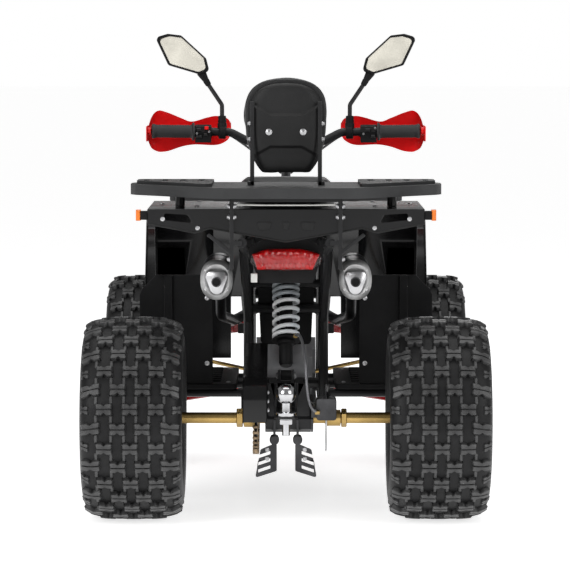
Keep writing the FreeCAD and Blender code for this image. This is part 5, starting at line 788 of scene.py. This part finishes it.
backrestPad = {"low": .866, "high": 1.1095, "half": .1065, "back": -.6545, "corner": .028, "shoulder": .6, "foot": .56,
               "rings": ((0, .97), (.005, 1), (.030, 1), (.040, .965), (.046, .9), (.0485, .8))}


def backrestWidth(v, half):
    # half width: a superellipse that narrows to 56 percent at the foot and closes at the top
    shoulder, foot = backrestPad["shoulder"], backrestPad["foot"]
    low, high = np.clip(v / shoulder, 0, 1), np.clip((v - shoulder) / (1 - shoulder), 0, 1)
    return half * (foot + (1 - foot) * (1 - (1 - low) ** 2.4) ** .8) * (1 - high ** 3.0) ** (1 / 2.5)


def backrestRings():
    # the outline, half width at each height and its mirror, shrunk about its middle by each ring's share
    v = (1 - np.cos(np.linspace(0, math.pi, 40))) / 2
    width = backrestWidth(v, backrestPad["half"])
    width[-1] = 0
    low, high = backrestPad["low"], backrestPad["high"]
    right = np.stack([width, low + (high - low) * v], 1)
    line = np.concatenate([right, right[-2::-1] * [-1, 1]])
    line = roundCorners(line, np.where(np.arange(len(line)) % (len(line) - 1) == 0, backrestPad["corner"], 0), 6)
    return ringsAbout(line, (0, (low + high) / 2), backrestPad["back"], backrestPad["rings"])


def ringsAbout(line, middle, y, rings):  # middle + (line - middle) * share, at y + depth, for each (depth, share)
    points = np.zeros((len(rings), len(line), 3))
    for row, (depth, share) in zip(points, rings):
        row[:, [0, 2]] = middle + (line - middle) * share
        row[:, 1] = y + depth
    return gridShell(points, lids=True)


cushion("seatCushion", "seat", 2, .735, .04, .005)
cushion("backrestCushion", "backrest_pad", 1, -.652, .012, .004, [backrestRings()])
print("stage: cushions")


# plates and moulded parts keep the frame's own forms, with rolled edges: (finish, edge width, segments)
rolled = {
    "frame": ("framePaint", .0034, 3), "skid_plate": ("plastic", .001, 2), "engine": ("engine", .0012, 2),
    "engine_sprocket": ("darkSteel", .0006, 2), "air_box": ("plastic", .005, 3), "swingarm": ("framePaint", .003, 3),
    "guard_plates": ("darkSteel", .0009, 2), "brake_caliper": ("darkSteel", .002, 2), "hitch_plate": ("framePaint", .0014, 2),
    "rear_fender": ("gloss", .0014, 3), "splash_panels": ("plastic", .0014, 2), "footboards": ("plastic", .003, 3),
    "side_bars": ("framePaint", .0032, 3), "rear_rack": ("rackPlastic", .0022, 3), "rack_supports": ("framePaint", .0012, 2),
    "tail_panel": ("plastic", .0015, 2), "body_cover": ("gloss", .0016, 3), "front_fender": ("gloss", .0014, 3),
    "nose_panel": ("plastic", .0015, 3), "grille": ("plastic", .0008, 2), "front_bumper": ("framePaint", .0034, 3),
    "front_rack": ("rackPlastic", .0022, 3), "front_arms": ("redPaint", .0028, 3), "steering_stem": ("darkSteel", .002, 2),
    "bar_controls": ("plastic", .0022, 3), "knuckle_right": ("darkSteel", .002, 2), "knuckle_left": ("darkSteel", .002, 2),
    "tie_rod_right": ("gold", .0018, 2), "tie_rod_left": ("gold", .0018, 2), "axle_sprocket": ("darkSteel", .0006, 2),
    "brake_disc": ("disc", .0005, 2),
}
for node, form in rolled.items():
    softened(node, *form)
print("stage: rolled parts")


# chain guard: a folded strip between two cheeks, each with room for the hub
guard = {"low": -.107, "high": -.047, "wall": .0025, "hub": (-.55, .2545, .041), "sweep": (16.9, 180),
         "top": [(-.6555, .2545), (-.6555, .3595), (-.55, .370), (-.2375, .413)], "bends": [0, .084, .03, 0],
         "nose": (-.2375, .349), "under": (-.5108, .2659)}
top = roundCorners(guard["top"], guard["bends"], 12, closed=False)
under = drawnIn(np.concatenate([top, [guard["nose"], guard["under"]]]), guard["wall"])[:len(top)]
strip = np.concatenate([top, under[::-1]])
hubY, hubZ, room = guard["hub"]
hub = np.radians(np.linspace(*guard["sweep"], 20))
cheek = np.concatenate([top, [guard["nose"]], np.stack([hubY + room * np.cos(hub), hubZ + room * np.sin(hub)], 1)])
low, high, wall = guard["low"], guard["high"], guard["wall"]
cover = [plateShell(strip, "x", low, high, .0004)] + [plateShell(cheek, "x", at, at + wall, .0008) for at in (low, high - wall)]
addPiece("chainCover", "chain_guard", "gloss", cover, ("chain_guard",), 35)
print("stage: chain guard")


# backrest: a hard shell with a raised bow-tie band, on two flat bars
backrest = {"rear": -.6765, "front": -.655, "low": .8735, "high": 1.0925, "half": .0885, "band": .0065, "flat": .038,
            "upper": (1.0186, .53), "lower": (.933, .55), "crease": .007, "fall": .011, "lift": .0045,
            "bars": [((.083, -.6785, .945), (.0052, .0045, .1025)), ((.0865, -.677, .8475), (.0082, .006, .005))]}


def backrestShell():
    # half width follows a superellipse above and below the shoulder; depth steps out between the two crease lines
    spec = backrest
    v = np.linspace(0, 1, 120)
    u = np.sin(np.linspace(-1, 1, 81) * math.pi / 2)
    x = np.maximum(backrestWidth(v, spec["half"]), .004)[:, None] * u
    z = np.broadcast_to((spec["low"] + (spec["high"] - spec["low"]) * v)[:, None], x.shape)
    out = np.maximum(np.abs(x) - spec["flat"], 0)
    upper, lower = spec["upper"][0] + out * spec["upper"][1] - z, z - (spec["lower"][0] - out * spec["lower"][1])
    band = np.clip(upper / spec["crease"], 0, 1) * np.clip(lower / spec["crease"], 0, 1)
    dome = (1 - np.abs(u)[None] ** 7) * (1 - np.abs(2 * v - 1)[:, None] ** 18)
    y = spec["rear"] + spec["fall"] * (1 - dome) + spec["lift"] - spec["band"] * band * np.clip(dome * 1.5, 0, 1)
    return walled(np.stack([x, y, z], -1), np.stack([x, np.full_like(x, spec["front"]), z], -1))


addPiece("backrestShell", "backrest_shell", "shell", [backrestShell()], ("backrest_shell",), 30)
bars = [blockShell(*bar, .0008) for bar in backrest["bars"]]
addPiece("backrestBars", "backrest_shell", "framePaint", bothSides(*bars), angle=30)
print("stage: backrest")


# tail lamp: faceted red lens in a crinkled clear cover; amber lamps on the fender's corners
lamp = {"z": .664, "half": .082, "tall": .025, "rear": -.752, "depth": .040, "prisms": 5.5, "prism": .0045, "step": .011,
        "film": (.0865, .019, .0275), "filmAt": .016, "filmWall": .0004}
turnLamp = {"block": ((.3590, -.7505, .773), (.0052, .0130, .0125)), "rib": ((.3590, -.7600, .773), (.0058, .0015, .0132)),
            "ribPitch": .0045, "foot": ((.3458, -.7500, .7725), (.0083, .0140, .0105))}


def lensShell():
    # between the top and bottom outlines the face steps back at its edge and is folded into upright prisms
    u, v = np.meshgrid(np.linspace(-1, 1, 177), np.linspace(0, 1, 22))
    high = np.interp(u, [-1, -.55, .45, 1], [.5, 1, 1, .5]) * lamp["tall"]
    low = np.interp(u, [-1, -.86, .8, 1], [.46, -1, -1, .46]) * lamp["tall"]
    fold = 1 - np.abs((u * lamp["prisms"]) % 1 * 2 - 1)
    dome = (1 - np.abs(u) ** 10) * (1 - np.abs(2 * v - 1) ** 6)
    band = .5 + .5 * np.sign(np.sin(v * math.pi * 3 + .4))
    y = lamp["rear"] + lamp["step"] * (1 - dome) - lamp["prism"] * dome * fold * (.4 + .6 * band) + lamp["prism"]
    x, z = u * lamp["half"], lamp["z"] + low + (high - low) * v
    return walled(np.stack([x, y, z], -1), np.stack([x, np.full_like(y, lamp["rear"] + lamp["depth"]), z], -1))


def filmShell():
    # an ellipsoid whose radius is creased by crossing sines of the two angles
    t, p = np.meshgrid(rounds(96), np.linspace(.02, math.pi - .02, 48))
    crease = .95 + .045 * np.abs(np.sin(3.1 * t + 2.3 * np.sin(2 * p))) + .03 * np.abs(np.sin(5.7 * p + 1.9 * np.cos(3 * t)))
    wide, deep, tall = lamp["film"]
    x, z = (np.sign(f) * np.abs(np.sin(p) * f) ** .8 * crease * reach for f, reach in ((np.cos(t), wide), (np.sin(t), tall)))
    return gridShell(np.stack([x, lamp["rear"] + lamp["filmAt"] - deep * np.cos(p) * crease, lamp["z"] + z], -1), lids=True)


addPiece("tailLens", "tail_light", "redLens", [lensShell()], ("tail_light",), 12)
skin = addPiece("tailFilm", "tail_light", "film", [filmShell()], angle=10).modifiers.new("thin", "SOLIDIFY")
skin.thickness, skin.offset = lamp["filmWall"], -1
ribs = placed(blockShell(*turnLamp["rib"], .0008), [(0, turnLamp["ribPitch"] * i, 0) for i in range(5)])
turnBlock = blockShell(*turnLamp["block"], .0015, "z", .003)
addPiece("turnLamps", "indicators", "orangeLens", bothSides(turnBlock, ribs), ("indicators",), 25)
addPiece("turnLampFeet", "indicators", "plastic", bothSides(blockShell(*turnLamp["foot"], .0012, "z", .002)))
addPiece("tailConnector", "tail_panel", "connector", [blockShell((-.078, -.7215, .618), (.008, .009, .011), .0015)])
print("stage: lamps")


# handlebar and grips; the bends are offsets from the clamp's middle
bar = {"radius": .011, "bend": .05, "rake": (0, -.428421, .903579), "clamp": (0, .145, .880), "rise": .024,
       "bends": [(0, 0, 0), (.055, 0, 0), (.150, -.006, .0489), (.362, -.030, .052)],
       "block": [(-.042, -.017), (.042, -.017), (.042, .017), (-.042, .017)],
       "levels": [(0, .97), (.0012, 1), (.0228, 1), (.0236, .97), (.0244, .97), (.0252, 1), (.0388, 1), (.04, .96)],
       "grip": [(0, .0125), (0, .0238), (.002, .0243), (.005, .0238), (.0075, .0185),
                *[(.010 + .0035 * i, .0178 - .0011 * (i % 2)) for i in range(26)],
                (.104, .018), (.111, .0195), (.114, .0185), (.115, .016), (.115, .0125)], "gripAt": .247}
stem, clampLow = unit(bar["rake"]), np.array(bar["clamp"])
barHalf = clampLow + stem * bar["rise"] + np.array(bar["bends"])


def barAt(x):  # the point of the bar's straight outer part at this x
    inner, outer = barHalf[2:]
    return inner + (outer - inner) * (x - inner[0]) / (outer[0] - inner[0])


barLine = roundCorners(np.concatenate([barHalf[:0:-1] * [-1, 1, 1], barHalf]), bar["bend"], 7, closed=False)
addPiece("handlebarTube", "handlebar", "framePaint", [tubeShell(barLine, bar["radius"], 24)], ("handlebar",))
u, v = np.array(xAxis), np.cross(stem, xAxis)
outline = roundCorners(bar["block"], .006, 5)
rings = np.array([clampLow + stem * h + (outline[:, :1] * u + outline[:, 1:] * v) * s for h, s in bar["levels"]])
addPiece("barClamp", "handlebar", "darkSteel", [gridShell(rings, lids=True)], angle=30)
capBolts = [clampLow + stem * .039 + u * a + v * b for a in (-.033, .033) for b in (-.0095, .0095)]
way = unit(barHalf[3] - barAt(bar["gripAt"]))
grip = lathe(bar["grip"], barAt(bar["gripAt"]), way, 40, closed=True)
addPiece("gripSleeves", "grips", "rubber", bothSides(grip), ("grips",), 35)

# hand guards: a waisted shield bulged forward, with a strap to the bar's end and a stay to the bar
handGuard = {"front": .2030, "wall": .0035, "bulge": .011, "ends": (.149, .16, .355, .375), "turned": (.345, .012),
             "top": [(.149, .972), (.160, .986), (.188, .9925), (.215, .988), (.2557, .9773), (.285, .987), (.3113, .998),
                     (.332, 1.0052), (.3446, 1.0074), (.357, 1.001), (.367, .985), (.375, .958)],
             "foot": [(.149, .945), (.160, .926), (.190, .9135), (.2473, .9148), (.2835, .9091), (.3168, .898), (.339, .8948),
                      (.352, .897), (.366, .9065), (.375, .928)],
             "strap": (.374, .192, .9465), "stay": ((.2005, .1665, .9505), (.0075, .0275, .0055))}


def guardShells():
    # z runs from foot to top; y drops with the square of the way from the middle and toward the outer end
    spec = handGuard
    inner, left, right, outer = spec["ends"]
    x = np.concatenate([np.linspace(inner, left, 6)[:-1], np.linspace(left, right, 50), np.linspace(right, outer, 16)[1:]])
    high, low = (np.interp(x, *smoothLine(spec[edge], 8).T) for edge in ("top", "foot"))
    v = np.sin(np.linspace(-1, 1, 25) * math.pi / 2)
    z = (high + low)[:, None] / 2 + (high - low)[:, None] / 2 * v
    turnAt, turnDeep = spec["turned"]
    turn = turnDeep * np.clip((x - turnAt) / (outer - turnAt), 0, 1) ** 2
    bulge = spec["bulge"] * np.interp(x, [.149, .25, .34], [.5, .35, 1])
    y = spec["front"] - (v ** 2)[None] * bulge[:, None] - turn[:, None]
    front = np.stack([np.broadcast_to(x[:, None], z.shape), y, z], -1)
    strapX, strapY, strapZ = spec["strap"]
    endY = barHalf[3][1] - .016
    strap = blockShell((strapX, (endY + strapY) / 2, strapZ), (.0019, (strapY - endY) / 2, .021), .0015, "x", .006)
    plug = drum(0, .0085, .0105, barAt(.3625) + [.0015, 0, 0], xAxis)
    return [walled(front, front - [0, spec["wall"], 0]), strap, plug, blockShell(*spec["stay"])]


addPiece("handGuards", "hand_guards", "redPlastic", bothSides(*guardShells()), ("hand_guards",), 35)

# switches and a thumb lever on the rear faces of the two control housings: (x, z, half width, half height)
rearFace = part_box("bar_controls")[0][1]
switches = {"redSwitch": ("redPlastic", [(-.2135, .9625, .0052, .0045)]),
            "rockers": ("gloss", [(-.2345, .9575, .0065, .0042), (-.2165, .944, .005, .004), (-.2345, .9385, .0085, .0035),
                                  (.2200, .9560, .0075, .0045), (.2345, .9390, .006, .0045)])}
for name, (look, blocks) in switches.items():
    keys = [blockShell((x, rearFace + .0012, z), (w, .0042, h), .0012, "y", .0015) for x, z, w, h in blocks]
    addPiece(name, "bar_controls", look, keys)

# mirrors: the head is a bowl whose outline shrinks by a quarter ellipse toward its back
mirror = {"low": (.206, 1.105), "size": (.146, .110), "corner": .011, "stemAt": .172, "behind": .005, "glass": .875,
          "stem": .0058, "bend": (.1725, 1.024), "neck": (.209, .0156, 1.078),
          "shares": [(0.0, 0.09), (0.17, 0.0), (0.76, 0.23), (1.0, 0.91), (0.77, 1.0), (0.52, 0.96), (0.06, 0.4)],
          "rings": [(.004, .84), (.0035, .865), (0, .885), (0, .965), (.003, 1), (.010, .995)], "lean": (.020, 0, .034),
          "cone": [(-.002, .006), (0, .0078), (.012, .0088), (.014, .0082), (.036, .0125), (.040, .0125), (.040, 0)],
          "boot": [(-.004, 0), (-.004, .0126), (.006, .0128), (.010, .0108), (.014, .0118), (.018, .0104), (.022, .0112),
                   (.028, .0098)],
          "bootTop": .995, "ring": [(-.009, 0), (-.009, .0175), (-.008, .0187), (.008, .0187), (.009, .0175), (.009, 0)]}
stemBase = barAt(mirror["stemAt"])
backY = stemBase[1] - mirror["behind"]
rim = roundCorners(np.array(mirror["shares"]) * mirror["size"] + mirror["low"], mirror["corner"], 6)
middle = rim.mean(0)
turns = np.linspace(.25, math.pi / 2, 7)
bowl = mirror["rings"] + [(.010 + .016 * math.sin(a), .995 * (.35 + .65 * math.cos(a))) for a in turns]
foot = stemBase + [0, 0, .0154]
neck = np.array(mirror["neck"]) + [0, backY, 0]
tall = mirror["bootTop"] - foot[2]
parts = [ringsAbout(rim, middle, backY, bowl),
         lathe(mirror["boot"] + [(.9 * tall, .0085), (tall, .0062), (tall, 0)], foot, zAxis, 28),
         lathe(mirror["ring"], stemBase, way, 28), lathe(mirror["cone"], neck, mirror["lean"], 24)]
addPiece("mirrorHeads", "mirrors", "plastic", bothSides(*parts), ("mirrors",), 35)
bendX, bendZ = mirror["bend"]
stemPath = roundCorners([foot, (bendX, foot[1], bendZ), neck, neck + mirror["lean"]], .014, 7, closed=False)
addPiece("mirrorStems", "mirrors", "framePaint", bothSides(tubeShell(stemPath, mirror["stem"])))
# the glass plate, coloured beige as a painted reflection
glass = plateShell(middle + (rim - middle) * mirror["glass"], "y", backY + .0012, backY + .003, .0006)
addPiece("mirrorReflectionPlates", "mirror_glass", "mirror", bothSides(glass), ("mirror_glass",), 30)
print("stage: handlebar")

headlamp = {"at": (.092, .692, .628),
            "bowl": [(0, 0), (0, .024), (.035, .048), (.062, .048), (.066, .0475), (.0675, .045), (.062, .043), (.062, 0)],
            "lens": [(.0625, 0), (.0625, .043), (.066, .0425), (.070, .034), (.0725, .022), (.0738, .01), (.074, 0)]}
bowl, lens = (bothSides(lathe(headlamp[part], headlamp["at"], yAxis, 48)) for part in ("bowl", "lens"))
addPiece("headlampBowls", "headlights", "plastic", bowl, ("headlights",), 30)
addPiece("headlampLenses", "headlights", "clearLens", lens)

# a black sheet that hangs from the air box's floor in front of the open window between the rear tubes: painted shade
# that closes the window
windowShade = {"y": -.1560, "wall": .0032, "line": [(-.066, .402), (.066, .402), (.070, .4985), (-.070, .4985)]}
shadePlate = plateShell(roundCorners(windowShade["line"], .012, 5), "y", windowShade["y"], windowShade["y"] + windowShade["wall"], .0008)
addPiece("windowShade", "air_box", "plastic", [shadePlate])

# bolts: on which node, in which look, on both sides or not, then (places, axis, radius, height)
back = (0, -1, 0)
bolts = {
    "backrestBolts": ("backrest_shell", "silver", True, [([(.042, -.6792, .973)], back, .006, .004),
                      ([(.0885, -.6785, z) for z in (.955, .993)], xAxis, .0045, .006)]),
    "barClampBolts": ("handlebar", "silver", False, [(capBolts, stem, .005, .005)]),
    "controlScrews": ("bar_controls", "silver", False, [([(x, rearFace + .0004, z) for x, z in (
                      (-.2065, .952), (-.2395, .9475), (.2085, .9465), (.2400, .9620))], back, .0022, .0016)]),
    "supportBolts": ("rack_supports", "silver", True, [([(.1375, -.767, z) for z in (.795, .769, .667)], xAxis, .0052, .006),
                     ([(.1265, -.767, z) for z in (.795, .769)], (-1, 0, 0), .0052, .006)]),
    "fenderBolts": ("rear_fender", "chrome", True, [([(.30, -.760, .764), (.215, -.760, .742)], back, .004, .003),
                    ([(.22, -.62, .788), (.31, -.50, .788), (.22, -.40, .788)], zAxis, .005, .003)]),
    "splashBolts": ("splash_panels", "silver", True, [
                    ([(.205, -.236, .36), (.205, -.236, .53), (.31, -.236, .56)], back, .0045, .003)]),
    "plateBolts": ("guard_plates", "silver", True, [([(.047, -.586, .178), (.047, -.586, .155)], back, .004, .003)]),
    "guardBolts": ("chain_guard", "silver", False, [([(-.044, -.66, .33 - .022 * i) for i in range(3)], xAxis, .004, .003)]),
    "footboardBolts": ("footboards", "silver", True, [
                       ([(x, y, .3062) for x in (.15, .41) for y in (-.2, .15)], zAxis, .005, .003)]),
}
for name, (like, look, both, groups) in bolts.items():
    shells = [s for group in groups for s in boltShells(*group)]
    addPiece(name, like, look, bothSides(*shells) if both else shells, angle=30)

# small trim behind the seat and under the axle
trim = {"edge": [(.3365, -.7605, .752), (.222, -.7605, .7305), (.185, -.7605, .7415), (0, -.7605, .7085)],
        "panels": [[(.034, .757), (.072, .757), (.066, .737), (.040, .737)],
                   [(-.009, .757), (.009, .757), (.006, .739), (-.006, .739)]], "clampAt": (.029, -.59, .202),
        "rail": [(-.118, -.7715, .7995), (-.06, -.7735, .7985), (.06, -.7735, .7985), (.118, -.7715, .7995)],
        "knurl": [(0, 0), (0, .010), *[(.001 + .002 * i, .0118 - .0009 * (i % 2)) for i in range(15)], (.032, .010), (.032, 0)]}
edge = np.array(trim["edge"])
edgePath = roundCorners(np.concatenate([edge, edge[2::-1] * [-1, 1, 1]]), .012, 5, closed=False)
addPiece("fenderEdge", "rear_fender", "shell", [tubeShell(edgePath, .0021, 10)])
outer, inner = (plateShell(roundCorners(line, .003, 4), "y", -.7615, -.7595, .0012) for line in trim["panels"])
addPiece("fenderPanels", "rear_fender", "shell", bothSides(outer) + [inner])
addPiece("rackRail", "rack_supports", "connector", [tubeShell(trim["rail"], .0022, 10)])
addPiece("plateClamps", "guard_plates", "darkSteel", bothSides(lathe(trim["knurl"], trim["clampAt"], yAxis, 28)), angle=25)
print("stage: fixings")


# hose and control cables, each one smooth line between two fittings of the same body
# each: the node it belongs to, look, radius, length, stiffness and points
hoses = {"brakeHose": ("brake_caliper", "braid", .0036, .333, "medium", [
                   (.024, -.452, .452), (.030, -.492, .462), (.040, -.560, .452), (.048, -.622, .412), (.050, -.648, .352),
                   (.056, -.664, .305), (.068, -.672, .283), (.0795, -.668, .281)]),
         "cableRight": ("handlebar", "cable", .003, .27, "stiff", [
                   (.214, .170, .925), (.200, .205, .948), (.160, .222, .945), (.110, .215, .912), (.060, .195, .872),
                   (.013, .174, .838)])}
hoses["cableLeft"] = (*hoses["cableRight"][:5], [(-x, y, z) for x, y, z in hoses["cableRight"][5]])
hoseEnd = {"line": [(-.006, 0), (-.006, .0055), (.004, .0055), (.006, .0042), (.006, 0)],
           "places": (((.0775, -.668, .281), (1, 0, 0)), ((.024, -.452, .452), (0, 1, .3)))}


def hose(name, like, look, radius, length, stiffness, points):
    # a NURBS line through the control points, its ends on the first and last of them
    curve = bpy.data.curves.new(name, "CURVE")
    curve.dimensions = "3D"
    spline = curve.splines.new("NURBS")
    spline.points.add(len(points) - 1)
    for point, place in zip(spline.points, points):
        point.co = (*place, 1)
    spline.order_u = 3
    spline.use_endpoint_u = True
    curve.resolution_u = 12
    curve.bevel_depth = radius
    curve.bevel_resolution = 3
    curve.use_fill_caps = True
    piece = settle(newObject(name, curve), like, look)


for name, values in hoses.items():
    hose(name, *values)
ends = [lathe(hoseEnd["line"], place, way, 6) for place, way in hoseEnd["places"]]
addPiece("brakeHoseEnds", "brake_caliper", "gold", ends, angle=25)
print("stage: hoses")


# studio: a pale floor, soft lamps and the camera of the photograph
# a lamp: where it stands, what it aims at, its width and length, its power
studio = {"world": .3, "glow": .72, "floor": .86, "reach": 40,
          "lamps": {"keyLeft": ((-3.2, -4.2, 2.6), (0, -.5, .6), 2.4, 2.4, 110),
                    "keyRight": ((3.4, -3.8, 2.4), (0, -.5, .6), 2.4, 2.4, 80),
                    "overhead": ((0, -.2, 4.2), (0, -.2, 0), 3.6, 4.0, 90),
                    "front": ((1.0, 5.0, 2.6), (0, 0, .6), 3.0, 2.0, 40)},
          "camera": (-.0025, -8.55, 1.19), "tilt": 85.693, "lens": 202.9}
white = (1, 1, 1, 1)
world = bpy.data.worlds.new("studio")
scene.world = world
world.use_nodes = True
tree = world.node_tree
dim = tree.nodes["Background"]
dim.inputs["Strength"].default_value = studio["world"]
plain = tree.nodes.new("ShaderNodeBackground")  # what stands behind the machine is plain white
for node in (dim, plain):
    node.inputs["Color"].default_value = white
seen = tree.nodes.new("ShaderNodeLightPath")
choice = tree.nodes.new("ShaderNodeMixShader")
for source, socket in zip((seen, dim, plain), choice.inputs):
    tree.links.new(source.outputs[0], socket)
tree.links.new(choice.outputs["Shader"], tree.nodes["World Output"].inputs["Surface"])
scene.view_settings.view_transform = "Standard"
reach = studio["reach"]
corners = np.array([[(-reach, -reach, 0), (reach, -reach, 0)], [(-reach, 2 * reach, 0), (reach, 2 * reach, 0)]], float)
floor = newObject("studioFloor", meshFrom("studioFloor", [gridShell(corners, closeCols=False)]))
floorLook = finish("studio_floor", (studio["floor"],) * 3, .7, grain=40, depth=.01, drift=.01)
floorShader = floorLook.node_tree.nodes["Principled BSDF"]
floorShader.inputs["Emission Color"].default_value = white
floorShader.inputs["Emission Strength"].default_value = studio["glow"]
floor.data.materials.append(floorLook)


def softLamp(name, place, aim, width, length, power):
    # the lamp's own axes are right, up and away from what it aims at
    light = bpy.data.lights.new(name, "AREA")
    light.shape = "RECTANGLE"
    light.size, light.size_y, light.energy = width, length, power
    lampObject = newObject(name, light)
    lampObject.location = place
    down = unit(np.subtract(aim, place))
    right = unit(np.cross(down, zAxis) if abs(down[2]) < .99 else xAxis)
    lampObject.rotation_euler = Matrix(np.stack([right, np.cross(right, down), -down], 1).tolist()).to_euler()


for name, values in studio["lamps"].items():
    softLamp(name, *values)
camera = bpy.data.cameras.new("studioCamera")
camera.lens, camera.sensor_width = studio["lens"], 36
cameraObject = newObject("studioCamera", camera)
cameraObject.location = studio["camera"]
cameraObject.rotation_euler = (math.radians(studio["tilt"]), 0, 0)
scene.camera = cameraObject
print("stage: studio")
